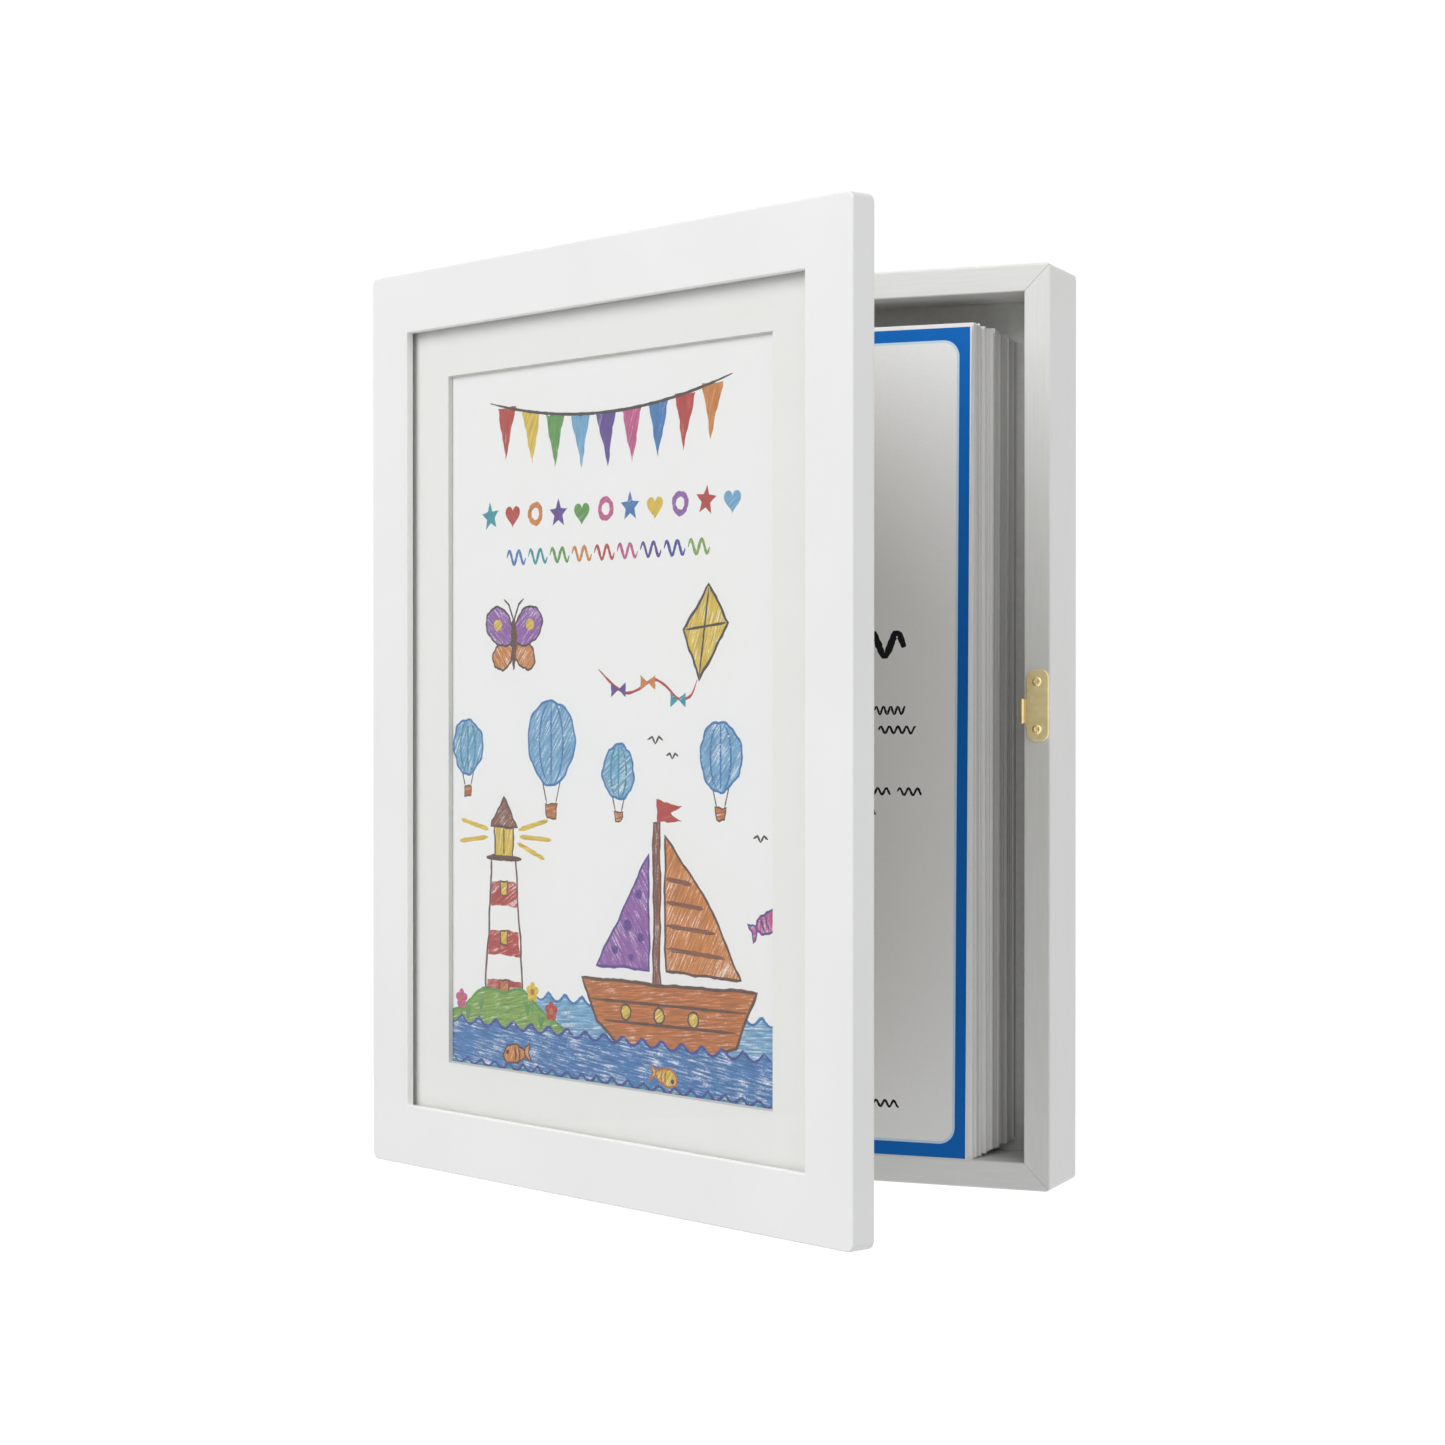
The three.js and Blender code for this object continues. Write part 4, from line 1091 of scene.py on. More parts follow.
def printedSheet(halfWidth, halfHeight, middle, pitch, shapes, paperColour, depthOf, thickness):
    # A sheet whose front is cut along the outlines drawn on it, so that each face has one colour.
    # Outlines, rim and an even grid are triangulated together, and a face takes the top outline
    # over it. The rear is the same triangles, and walls stand on the edges that only one face has.
    rimX = np.linspace(-halfWidth, halfWidth, int(2 * halfWidth / pitch) + 1)
    rimZ = np.linspace(-halfHeight, halfHeight, int(2 * halfHeight / pitch) + 1)
    rim = np.concatenate([
        np.stack([rimX[:-1], np.full(len(rimX) - 1, -halfHeight)], -1),
        np.stack([np.full(len(rimZ) - 1, halfWidth), rimZ[:-1]], -1),
        np.stack([rimX[:0:-1], np.full(len(rimX) - 1, halfHeight)], -1),
        np.stack([np.full(len(rimZ) - 1, -halfWidth), rimZ[:0:-1]], -1),
    ])
    gridX, gridZ = np.meshgrid(rimX[1:-1], rimZ[1:-1])
    outlines = [rim] + [shape[0] for shape in shapes]
    loose = np.concatenate(outlines + [np.stack([gridX.ravel(), gridZ.ravel()], -1)])
    loops, start = [], 0
    for outline in outlines:
        order = list(range(start, start + len(outline)))
        loops.append(order if twiceArea(outline) > 0 else order[::-1])
        start += len(outline)
    cut = delaunay_2d_cdt(loose.tolist(), [], loops, 1, 1e-4, True)
    flat = np.array([list(point) for point in cut[0]])
    found = [(face, max(owner)) for face, owner in zip(cut[2], cut[5]) if len(face) == 3]
    triangles = np.array([face for face, owner in found])
    count = len(flat)
    front = np.stack([flat[:, 0], depthOf(flat[:, 0], flat[:, 1]), flat[:, 1] + middle], -1)
    edges = np.concatenate([triangles[:, [0, 1]], triangles[:, [1, 2]], triangles[:, [2, 0]]])
    keys = edges[:, 0] * count + edges[:, 1]
    lone = edges[~np.isin(keys, edges[:, 1] * count + edges[:, 0])]
    sides = np.stack([lone[:, 1], lone[:, 0], lone[:, 0] + count, lone[:, 1] + count], -1)
    both = np.concatenate([triangles, triangles[:, ::-1] + count])
    surface = (np.concatenate([front, front + [0, thickness, 0]]), [both, sides])
    colours = np.array([linearOf(paperColour)] + [linearOf(wax.get(s[1], s[1])) for s in shapes])
    weights = np.array([0.0] + [shape[2] for shape in shapes])
    hatches = np.radians(np.array([0.0] + [shape[3] for shape in shapes]))
    unprinted = np.zeros(len(triangles) + len(sides), int)
    faceTop = np.concatenate([[owner for face, owner in found], unprinted])
    return surface, flat, faceTop, colours, weights, hatches


streakShift = 37.0    # sets each outline's streaks apart from its neighbours'


def writeInk(piece, flat, faceTop, colours, weights, hatches):
    # each corner gets its face's colour, and its place along and across the hatching in millimetres
    mesh = piece.data
    vertex = np.empty(len(mesh.loops), np.int32)
    mesh.loops.foreach_get("vertex_index", vertex)
    counts = np.empty(len(mesh.polygons), np.int32)
    mesh.polygons.foreach_get("loop_total", counts)
    owner = np.repeat(faceTop, counts)
    point = flat[vertex % len(flat)]
    c, s = np.cos(hatches[owner]), np.sin(hatches[owner])
    along = point[:, 0] * c + point[:, 1] * s + streakShift * owner
    across = -point[:, 0] * s + point[:, 1] * c
    stroke = np.stack([along, across, weights[owner]], -1)
    for name, kind, key, values in (
        ("waxColour", "FLOAT_COLOR", "color", colours[owner]),
        ("strokeMap", "FLOAT_VECTOR", "vector", stroke),
    ):
        layer = mesh.attributes.new(name, kind, "CORNER")
        layer.data.foreach_set(key, values.astype(np.float32).ravel())


def addDisplayPrint():
    # the drawing lies flat behind the mat
    front, back = picture["print"]
    surface, *ink = printedSheet(
        seaside["halfWidth"], seaside["halfHeight"], doorMiddle, seaside["pitch"], drawSeaside(),
        seaside["paper"], lambda x, z: np.full(len(x), front), back - front,
    )
    piece = addPiece(
        "crayonDrawing", opened(surface), [finishes["crayonPrint"]], "door",
        ["display_print"],
    )
    writeInk(piece, *ink)
    print("stage: drawing,", len(piece.data.polygons), "faces")


addDisplayPrint()


# Box

boxRails = {
    "halfWidth": 128,
    "halfHeight": 163.5,
    "frontY": -33,
    "depth": 33,
    "rim": 9.8,
    "shoulder": 27.4,
    "rebate": 4.7,
    "frontRadius": 0.8,
    "innerRadius": 0.6,
    "backRadius": 1.2,
    "cornerRadius": 2.2,
    "mitreBreak": 0.16,
    "mitreGap": 0.06,
}


def boxProfile():
    # the rail's section from its outer edge inwards, with the rebate for the back panel
    front, inner, back = boxRails["frontRadius"], boxRails["innerRadius"], boxRails["backRadius"]
    rim, rebate = boxRails["rim"], boxRails["rebate"]
    shoulder, depth = boxRails["shoulder"], boxRails["depth"]
    parts = [
        arcPoints((front, front), front, 2, 3, 4),
        arcPoints((rim - inner, inner), inner, 3, 4, 3),
        [(rim, shoulder), (rebate, shoulder), (rebate, depth)],
        arcPoints((back, depth - back), back, 1, 2, 4),
    ]
    return np.concatenate(parts)


def addBoxRails():
    # Each rail is its section carried along one side. Its rings lie parallel to the mitre, and the
    # last one is drawn in so that the joint shows as a fine line. At a distance t from the mitre
    # the box's rounded corner takes the section in by R - (t + sqrt(2 R R - t t)) / 2.
    section = boxProfile()
    shrunk = outward(section, -boxRails["mitreBreak"])
    radius = boxRails["cornerRadius"]
    steps = radius * np.array([0.3, 0.55, 0.8, 1])
    backs = np.array([0, boxRails["mitreBreak"], *steps])
    cuts = radius - (backs + np.sqrt(2 * radius ** 2 - backs ** 2)) / 2
    ends = [(-1, back, cut) for back, cut in zip(backs, cuts)]
    ends += [(1, back, cut) for back, cut in zip(backs[::-1], cuts[::-1])]
    for side in ("top", "bottom", "left", "right"):
        standing = side in ("left", "right")
        reach = boxRails["halfWidth"] if standing else boxRails["halfHeight"]
        length = boxRails["halfHeight"] if standing else boxRails["halfWidth"]
        sign = 1 if side in ("top", "right") else -1
        rings = []
        for end, back, cut in ends:
            profile = section if back else shrunk
            inset = np.maximum(profile[:, 0], cut)
            along = end * (length - inset - back - boxRails["mitreGap"] / 2)
            across = sign * (reach - inset)
            y = boxRails["frontY"] + profile[:, 1]
            x, z = (across, along) if standing else (along, across)
            rings.append(np.stack([x, y, z + boxMiddle], -1))
        finish = finishes["uprightLacquer" if standing else "levelLacquer"]
        addPiece(
            f"boxRail{side.capitalize()}", ringStack(np.array(rings)), [finish], "box",
            [f"box_{side}_rail"],
        )


addBoxRails()

backPanel = {"halfWidth": 123.0, "halfHeight": 158.5, "frontY": -5.5, "rearY": -3.0}


def addBackPanel():
    # the last face but one is the board's inner side, which has the white foil
    k = backPanel
    surface = boardSurface(k["halfWidth"], k["halfHeight"], k["frontY"], k["rearY"], boxMiddle)
    faceFinish = np.zeros(sum(len(faces) for faces in surface[1]))
    faceFinish[-2] = 1
    addPiece(
        "backBoard", surface, [finishes["hardboard"], finishes["facing"]], "box",
        ["back_panel"], faceFinish=faceFinish,
    )


addBackPanel()
print("stage: box rails and back panel")


# Stored paper

paperPile = {
    "left": -111.2,
    "width": 210,
    "bottom": -314.95,
    "height": 297,
    "frontY": -32.0,
    "bundlePitch": 3.786,
    "bundleDepth": 3.486,
    "bundleGap": 0.06,
    "bundles": 7,
    "sheetsPerBundle": 15,
    "thickness": 0.19,
    "rows": 15,
    "columns": 10,
    "fan": 8.2,
    "fanOver": 0.9,
    "frontRise": 0.7,
    "rearDrop": 2.6,
    "rearLift": 5.0,
    "wave": 0.45,
    "bendWaves": 3.4,
    "twistWaves": 2.6,
    "ripple": 0.03,
}

# How the sheets lie: small flush stacks, and a few slipped sheets between them
sheetMix = {
    "seed": 8,
    "flush": (2, 6),
    "loose": (1, 3),
    "frontFlush": 4,
    "shift": 0.3,
    "lean": 0.5,
    "top": 0.35,
    "drop": 1.2,
    "lift": 0.5,
    "setBack": (1.4, 4.0),
    "setDown": 0.5,
    "jitter": 0.04,
    "gap": (0.01, 0.03),
    "stackGap": 0.15,
    "looseGap": 0.12,
    # painted light and shade: a level per stack, a spread per sheet, front sheets painted lighter
    "tone": (0.05, 0.95),
    "paintedLightSpread": 0.2,
    "paintedFrontLight": 0.3,
}


def sheetSurface(depth, share, left, lean, top, drop, lift, ripple):
    # One sheet: a grid in width and height. Depth is its place in the pile plus a slow sine ripple
    # and a bend at the upper and lower right corners that itself goes in and out through the pile,
    # so that the sheets bunch together there. The right edge leans a little, and its ends are worn.
    k = paperPile
    u = np.linspace(0, 1, k["columns"]) ** 0.5
    v = 0.5 - 0.5 * np.cos(np.linspace(0, math.pi, k["rows"]))
    across, up = np.meshgrid(u, v)
    x = left + across * k["width"] + lean * (up - 0.5)
    low = k["bottom"] + (share * k["rearLift"] + lift) * across ** 4
    high = k["bottom"] + k["height"] + top - drop * across ** 9
    z = low + (high - low) * up
    bend = k["wave"] * np.sin(fullTurn * k["bendWaves"] * share + 0.6)
    twist = 0.6 * k["wave"] * np.sin(fullTurn * k["twistWaves"] * share + 2.1)
    y = depth + bend * across ** 5 * up ** 7 + twist * across ** 5 * (1 - up) ** 7
    y = y + k["ripple"] * np.sin(fullTurn * (1.5 * up + 0.7 * across) + ripple)
    front = np.stack([x, y, z], -1)
    return gridShell(front, front + [0, k["thickness"], 0])


def sheetStacks(total, rng):
    # numbers the stack that each sheet belongs to, and marks the slipped sheets that end it
    stack, slipped = np.zeros(total, int), np.zeros(total, bool)
    i, number = 0, 0
    while i < total:
        flush, loose = rng.integers(*sheetMix["flush"]), rng.integers(*sheetMix["loose"])
        stack[i:] = number
        slipped[i + flush:i + flush + loose] = True
        i += flush + loose
        number += 1
    slipped[:sheetMix["frontFlush"]] = False
    return stack, slipped, number


def addPaperPile():
    # a stack's sheets share its shift, lean, height and level of painted light and shade, and
    # slipped sheets leave dark slots
    k, mix = paperPile, sheetMix
    rng = np.random.default_rng(mix["seed"])
    count = k["sheetsPerBundle"]
    total = k["bundles"] * count
    stack, slipped, stacks = sheetStacks(total, rng)
    stackShare = np.array([np.flatnonzero(stack == s).mean() for s in range(stacks)]) / total
    stray = rng.normal(0, mix["shift"], stacks) * np.minimum(1, 8 * stackShare)
    stackShift = k["fan"] * stackShare + stray
    stackLean = rng.normal(0, mix["lean"], stacks)
    stackTop = rng.normal(0, mix["top"], stacks)
    stackDrop = rng.uniform(0.0, mix["drop"], stacks)
    stackLift = rng.normal(0, mix["lift"], stacks)
    # each stack's level of painted light and shade
    stackPaintedLight = rng.uniform(*mix["tone"], stacks)
    setBack = np.where(slipped, rng.uniform(*mix["setBack"], total), 0)
    for bundle in range(k["bundles"]):
        index = np.arange(count) + bundle * count
        newStack = np.diff(stack[index], prepend=stack[index[0]]) > 0
        gaps = rng.uniform(*mix["gap"], count)
        gaps = gaps + mix["stackGap"] * newStack + mix["looseGap"] * slipped[index]
        gaps *= (k["bundleDepth"] - count * k["thickness"] - 2 * k["bundleGap"]) / gaps.sum()
        start = k["frontY"] + bundle * k["bundlePitch"] + k["bundleGap"]
        depths = start + np.cumsum(gaps) + np.arange(count) * k["thickness"]
        sheets, paintedLights = [], []
        for depth, i in zip(depths, index):
            share, s = (i + 1) / total, stack[i]
            shift = stackShift[s] + rng.normal(0, mix["jitter"]) - setBack[i]
            left = k["left"] + min(shift, k["fan"] + k["fanOver"])
            fall = (k["frontRise"] + k["rearDrop"]) * share
            top = k["frontRise"] - fall + stackTop[s] * min(1, 6 * share)
            top -= mix["setDown"] * slipped[i]
            lift = max(-share * k["rearLift"], stackLift[s] * share)
            drop = stackDrop[s] * share
            sheets.append(sheetSurface(depth, share, left, stackLean[s], top, drop, lift, 0.9 * i))
            # painted light: a little spread per sheet, and the front sheets painted lighter
            shade = rng.uniform(0, mix["paintedLightSpread"]) + mix["paintedFrontLight"] * (1 - share) ** 2
            paintedLights.append(stackPaintedLight[s] + shade)
        piece = addPiece(
            f"paperBundle{bundle + 1}", joined(sheets), [finishes["paper"]], "box",
            [f"paper_bundle_{bundle + 1}"],
        )
        perSheet = len(piece.data.vertices) // count
        tone = piece.data.attributes.new("sheetPaintedLight", "FLOAT", "POINT")
        tone.data.foreach_set("value", np.repeat(paintedLights, perSheet).astype(np.float32))
    print("stage: paper,", total, "sheets")


addPaperPile()

cover = {
    "middleX": -6.2,
    "middleZ": -166.45,
    "halfWidth": 105,
    "halfHeight": 148.5,
    "frontY": -32.55,
    "thickness": 0.22,
    "pitch": 5.0,
    "lean": 1.8,
    "belly": 0.22,
    "bellyHalf": 160,
    "edgeLift": 0.12,
    "blue": "#1A6EC4",
    "pale": "#CFE6F8",
    "paper": "#F8F8F6",
    "ink": "#26262A",
}

# What is printed on it. Insets from the left, right, lower and upper edges, then where pen rows end
coverPlan = {
    "outerInsets": (0.8, 0.5, 0.2, 0.9),
    "outerRadius": 0.15,
    "innerInsets": (6.4, 5.4, 6.0, 6.2),
    "innerRadius": 5.2,
    "paleWidth": 0.9,
    "paleRadius": 6.0,
    "seed": 3,
    "rowsStart": -86,
    "heading": {"rows": [(80.4, 35.0)], "height": 4.4, "pitch": 8.5, "width": 2.5},
    "text": {
        "rows": [(81.0, 11.3), (85.0, 4.3), (87.3, -17.8), (70.0, -24.8), (79.4, -130.0)],
        "height": 1.3, "pitch": 3.0, "width": 0.85,
    },
}


def scribble(shapes, end, z, pen, rng):
    # a row of wavy pen strokes as long as words, set back from where the row ends
    start, pitch = coverPlan["rowsStart"], pen["pitch"]
    while end > start:
        begin = max(start, end - rng.uniform(2.5, 6.0) * pitch)
        height = pen["height"] * rng.uniform(0.85, 1.1)
        path = wavePath(begin, end, z, height, pitch * rng.uniform(0.9, 1.15))
        shapes.append((ribbon(path, pen["width"], rng, 0.7), cover["ink"], 1, 0))
        end = begin - 0.9 * pitch


def coverShapes():
    # a blue border with round inner corners, and plain wavy pen lines where print would be
    w, h, k = cover["halfWidth"], cover["halfHeight"], coverPlan
    left, right, lower, upper = k["outerInsets"]
    outer = roundedBox(-w + left, w - right, -h + lower, h - upper, k["outerRadius"], 1)
    left, right, lower, upper = k["innerInsets"]
    x0, x1, z0, z1 = -w + left, w - right, -h + lower, h - upper
    pale = k["paleWidth"]
    rim = roundedBox(x0 - pale, x1 + pale, z0 - pale, z1 + pale, k["paleRadius"])
    inner = roundedBox(x0, x1, z0, z1, k["innerRadius"])
    layers = ((outer, "blue"), (rim, "pale"), (inner, "paper"))
    shapes = [(outline, cover[colour], 1, 0) for outline, colour in layers]
    rng = np.random.default_rng(k["seed"])
    for pen in (k["heading"], k["text"]):
        for end, z in pen["rows"]:
            scribble(shapes, end, z, pen, rng)
    return shapes


def addCoverSheet():
    # the sheet leans to the right by an amount that grows with its height
    k = cover

    def depthOf(x, z):
        # a slight belly in the middle, and a lift along the right edge
        share = np.clip((x + k["halfWidth"]) / (2 * k["halfWidth"]), 0, 1)
        bow = np.cos(x / k["halfWidth"] * quarterTurn) * np.cos(z / k["bellyHalf"] * quarterTurn)
        return k["frontY"] - k["belly"] * bow - k["edgeLift"] * share ** 6

    (points, faces), *ink = printedSheet(
        k["halfWidth"], k["halfHeight"], k["middleZ"], k["pitch"], coverShapes(),
        k["paper"], depthOf, k["thickness"],
    )
    height = (points[:, 2] - k["middleZ"]) / (2 * k["halfHeight"])
    points[:, 0] += k["middleX"] + k["lean"] * (height - 0.5)
    piece = addPiece(
        "borderedCover", (points, faces), [finishes["coverPrint"]], "box",
        ["cover_sheet"],
    )
    writeInk(piece, *ink)
    print("stage: cover sheet,", len(piece.data.polygons), "faces")


addCoverSheet()


# Screws, nails and pins

screwKinds = {
    "round": {"head": 1.7, "rise": 0.42, "sink": 0.0, "slot": 2.0, "cut": 0.42},
    "low": {"head": 2.2, "rise": 0.8, "sink": 0.0, "slot": 2.64, "cut": 0.5},
    "flat": {"head": 1.8, "rise": 0.0, "sink": 0.52, "slot": 2.16, "cut": 0.38},
}
screwCut = {
    "width": 0.56,
    "soft": 0.09,
    "crest": 1.08,
    "core": 0.86,
    "pitch": 0.95,
    "runOut": 1.2,
    "tip": 1.6,
    "point": 0.08,
    "rimDrop": 0.03,
    "centre": 0.02,
}


def screwShape(kind, length, turn):
    # A lathe along the second axis. The head's height is a dome less a cross-shaped recess, and the
    # shank's radius rises and falls with depth plus angle, which makes a helical thread.
    k = screwCut
    head, rise, sink, slot, cut = screwKinds[kind].values()
    angle = np.linspace(0, fullTurn, 48, endpoint=False)[None, :]
    r = head * np.linspace(k["centre"], 1, 15)[:, None] ** 0.85
    x, z = r * np.cos(angle - turn), r * np.sin(angle - turn)
    width, soft = k["width"] / 2, k["soft"]

    def arm(a, b):
        # 1 inside one arm of the cross, with soft sides and ends
        across = np.clip((width + soft - abs(a)) / (2 * soft), 0, 1)
        return across * np.clip((slot / 2 - abs(b)) / soft, 0, 1)

    dome = rise * np.sqrt(np.clip(1 - (r / head) ** 4, 0, 1)) - k["rimDrop"] * (r / head) ** 8
    height = dome - cut * np.maximum(arm(x, z), arm(z, x))
    depth = np.linspace(sink + k["centre"], length, 52)[:, None]
    taper = np.clip((length - depth) / k["tip"], k["point"], 1)
    ridge = abs((depth / k["pitch"] + angle / fullTurn) % 1 - 0.5) * 2
    swell = np.clip((depth - sink) / k["runOut"], 0, 1)
    thread = k["core"] + (k["crest"] - k["core"]) * ridge ** 2 * swell
    radius = np.concatenate([np.broadcast_to(r, height.shape), thread * taper])
    along = np.concatenate([height, np.broadcast_to(-depth, thread.shape)])
    return ringStack(np.stack([radius * np.cos(angle), along, radius * np.sin(angle)], -1))


def lathe(profile, sides=40):
    # profile points (radius, height) turned round the second axis
    angle = np.linspace(0, fullTurn, sides, endpoint=False)
    radius, height = np.asarray(profile, float)[:, :1], np.asarray(profile, float)[:, 1:]
    along = np.broadcast_to(height, (len(height), sides))
    return ringStack(np.stack([radius * np.cos(angle), along, radius * np.sin(angle)], -1))


def placed(shape, x, y, z, facing):
    # puts a fastener's seat at a place; facing 1 looks back to the wall and -1 to the front
    points, faces = shape
    return np.stack([points[:, 0] + x, y + facing * points[:, 1], points[:, 2] + z], -1), faces


def spin(name):
    # each screw stops at an angle of its own
    return (sum(map(ord, name)) * 0.61) % quarterTurn


def screwTable():
    # node: kind, length, place of its seat, facing, body and metal
    x, middle, reach = catch["screwX"], catch["middle"], catch["screwReach"]
    table = {
        "strike_screw_1": ("round", 9, x, -34.0, middle + reach, -1, "box", "brass"),
        "strike_screw_2": ("round", 9, x, -34.0, middle - reach, -1, "box", "brass"),
        "panel_screw_top": ("round", 11, 0, -2.9, -4.7, 1, "box", "zinc"),
        "panel_screw_bottom": ("round", 11, 0, -2.9, -317.6, 1, "box", "zinc"),
        "panel_screw_left": ("round", 11, -120.95, -2.9, boxMiddle, 1, "box", "zinc"),
        "panel_screw_right": ("round", 11, 120.95, -2.9, boxMiddle, 1, "box", "zinc"),
    }
    for side, sign in (("left", -1), ("right", 1)):
        for row, rise in (("upper", 1), ("lower", -1)):
            place = (sign * buttonPlace["x"], -34.4, doorMiddle + rise * buttonPlace["reach"])
            table[f"turn_button_screw_{row}_{side}"] = ("low", 7, *place, 1, "door", "zinc")
    table["catch_clip_screw"] = ("flat", 6, x, -34.73, middle, 1, "door", "brass")
    for label, height in hinge["middles"].items():
        for number, end in ((1, 1), (2, -1)):
            z = height + end * hinge["screwReach"]
            box = ("flat", 8, hinge["screwX"], -34.0, z, -1, "box", "brass")
            leaf = ("flat", 8, hinge["screwX"], -34.4, z, 1, "door", "brass")
            table[f"hinge_{label}_box_screw_{number}"] = box
            table[f"hinge_{label}_door_screw_{number}"] = leaf
    return table


def spokenName(node):
    # turn_button_screw_upper_left becomes turnButtonScrewUpperLeft
    first, *rest = node.split("_")
    return first + "".join(word.capitalize() for word in rest)


def addScrews():
    # every screw, turned to its own angle; those of the door open with it
    for node, (kind, length, x, y, z, facing, body, metal) in screwTable().items():
        surface = placed(screwShape(kind, length, spin(node)), x, y, z, facing)
        if body == "door":
            surface = opened(surface)
        addPiece(spokenName(node), surface, [finishes[metal]], body, [node], 40)


addScrews()


def drilledPlate(outline, holes, y0, y1, edge=0.12):
    # A flat plate: its two faces are the outline less its holes, triangulated, and walls join them.
    # The rim has a small edge break, and a hole may differ in radius from front to rear.
    rim = outward(outline, -edge)
    sides, caps = [], []
    for side in (0, 1):
        circles = [oval(x, z, radii[side], radii[side], count=32) for x, z, *radii in holes]
        loops = [rim] + circles
        starts = np.cumsum([0] + [len(loop) for loop in loops])
        faces = [list(range(a, b)) for a, b in zip(starts[:-1], starts[1:])]
        flat = np.concatenate(loops)
        sides.append(flat)
        cut = delaunay_2d_cdt(flat.tolist(), [], faces, 1, 1e-5, True)
        inside = [face for face, owner in zip(cut[2], cut[5]) if max(owner, default=1) == 0]
        caps.append(np.array(inside))
    n, count = len(outline), starts[-1]
    levels = [(sides[0], y0), (outline, y0 + edge), (outline, y1 - edge), (sides[1], y1)]
    points = [atDepth(line, y) for line, y in levels]
    i = np.arange(n)
    after = (i + 1) % n
    bases = [0, count, count + n, count + 2 * n]
    walls = []
    for a, b in zip(bases[:-1], bases[1:]):
        walls.append(np.stack([after + a, i + a, i + b, after + b], -1))
    for a, b in zip(starts[1:-1], starts[2:]):
        k = np.arange(a, b)
        onward = np.roll(k, -1)
        walls.append(np.stack([k, onward, onward + bases[3], k + bases[3]], -1))
    ends = np.concatenate([caps[0], caps[1][:, ::-1] + bases[3]])
    return np.concatenate(points), [ends, np.concatenate(walls)]


def moved(surface, x=0.0, y=0.0, z=0.0):
    # shifts a surface
    return surface[0] + [x, y, z], surface[1]


def stoodUp(surface):
    # swaps a lathe's second and third axes, so that it stands upright, and keeps its faces outwards
    points, faces = surface
    return points[:, [0, 2, 1]], [group[:, ::-1] for group in faces]


# Strike plate

strike = {
    "x0": 119.4,
    "x1": 127.4,
    "halfLength": 12.5,
    "frontY": -33.9,
    "rearY": -33.1,
    "innerRadius": 3.4,
    "outerRadius": 2.6,
    "edge": 0.16,
    "holeRadius": 1.25,
    "beadX": 117.82,
    "beadY": -33.55,
    "beadRadius": 0.85,
    "beadHalf": 4.4,
    "beadEdge": 0.3,
    "beadDrop": 2.0,
    "webThickness": 0.3,
    "webInset": 0.25,
    "webOverlap": 0.6,
    "webRadius": 0.2,
    "webEdge": 0.06,
}


def addStrikePlate():
    # The plate's corners are rounder towards the paper. Its bead is a rod whose ends are rounded by
    # a circle's quarter; a thin web carries it.
    k = strike
    half, drop = k["halfLength"], k["beadDrop"]
    outline = roundedBox(k["x0"], k["x1"], -half, half, k["innerRadius"], 10, k["outerRadius"])
    drill = k["holeRadius"]
    holes = [(catch["screwX"], end * catch["screwReach"], drill, drill) for end in (1, -1)]
    plate = drilledPlate(outline, holes, k["frontY"], k["rearY"], k["edge"])
    reach, radius, edge = k["beadHalf"], k["beadRadius"], k["beadEdge"]
    end = arcPoints((radius - edge, reach - edge), edge, 0, 1, 4)
    rod = np.vstack([[(poleRadius, reach)], end[::-1], end * [1, -1], [(poleRadius, -reach)]])
    bead = moved(stoodUp(lathe(rod, 28)), k["beadX"], k["beadY"], -drop)
    inset = k["webInset"]
    web = roundedBox(
        k["beadX"], k["x0"] + k["webOverlap"], inset - drop - reach, reach - drop - inset,
        k["webRadius"], 2,
    )
    web = drilledPlate(web, [], k["rearY"] - k["webThickness"], k["rearY"], k["webEdge"])
    surface = moved(joined([plate, bead, web]), z=catch["middle"])
    addPiece("strikePlate", surface, [finishes["brass"]], "box", ["strike_plate"])


addStrikePlate()


# Hinges

hingeLeaf = {
    "x0": -128.1,
    "x1": -119.3,
    "tabX": -129.2,
    "half": 13,
    "cornerRadius": 1.2,
    "edge": 0.1,
    "sunkHole": (2.0, 1.25),
    "boxY": (-34.05, -33.1),
    "doorY": (-35.3, -34.35),
    "knuckle": 1.8,
    "knuckleEdge": 0.15,
    "bore": 0.95,
    "middleKnuckle": 4.94,
    "knuckleGap": 0.2,
}
hingePin = {"radius": 0.846, "head": 1.4, "top": 13.1, "cap": 0.5, "edge": 0.2}


def leafOutline(tabs):
    # the leaf's outline: its left edge steps out to the knuckles wherever one of them stands
    k = hingeLeaf
    reach = k["half"] - k["cornerRadius"]
    x = k["x1"] - k["cornerRadius"]
    levels = sorted({k["half"], -k["half"], *np.ravel(tabs).tolist()}, reverse=True)
    left = []
    for top, bottom in zip(levels[:-1], levels[1:]):
        edge = k["tabX"] if (bottom, top) in tabs else k["x0"]
        left += [(edge, top), (edge, bottom)]
    upper = arcPoints((x, reach), k["cornerRadius"], 0, 1, 6)
    lower = arcPoints((x, -reach), k["cornerRadius"], 3, 4, 6)
    return np.vstack([upper, left, lower])


def knuckle(z0, z1):
    # a rolled sleeve: its section, a rectangle with cut corners, carried round the pin
    k = hingeLeaf
    out, bore, e = k["knuckle"], k["bore"], k["knuckleEdge"]
    section = [(bore, z0), (out - e, z0), (out, z0 + e), (out, z1 - e), (out - e, z1), (bore, z1)]
    angle = np.linspace(0, fullTurn, 40, endpoint=False)
    r, z = np.array(section)[:, :1], np.array(section)[:, 1:]
    rings = [r * np.cos(angle) + hinge["x"], r * np.sin(angle) + hinge["y"], z + 0 * angle]
    points, faces = ringStack(np.stack(rings, -1), closed=True)
    return points, [group[:, ::-1] for group in faces]


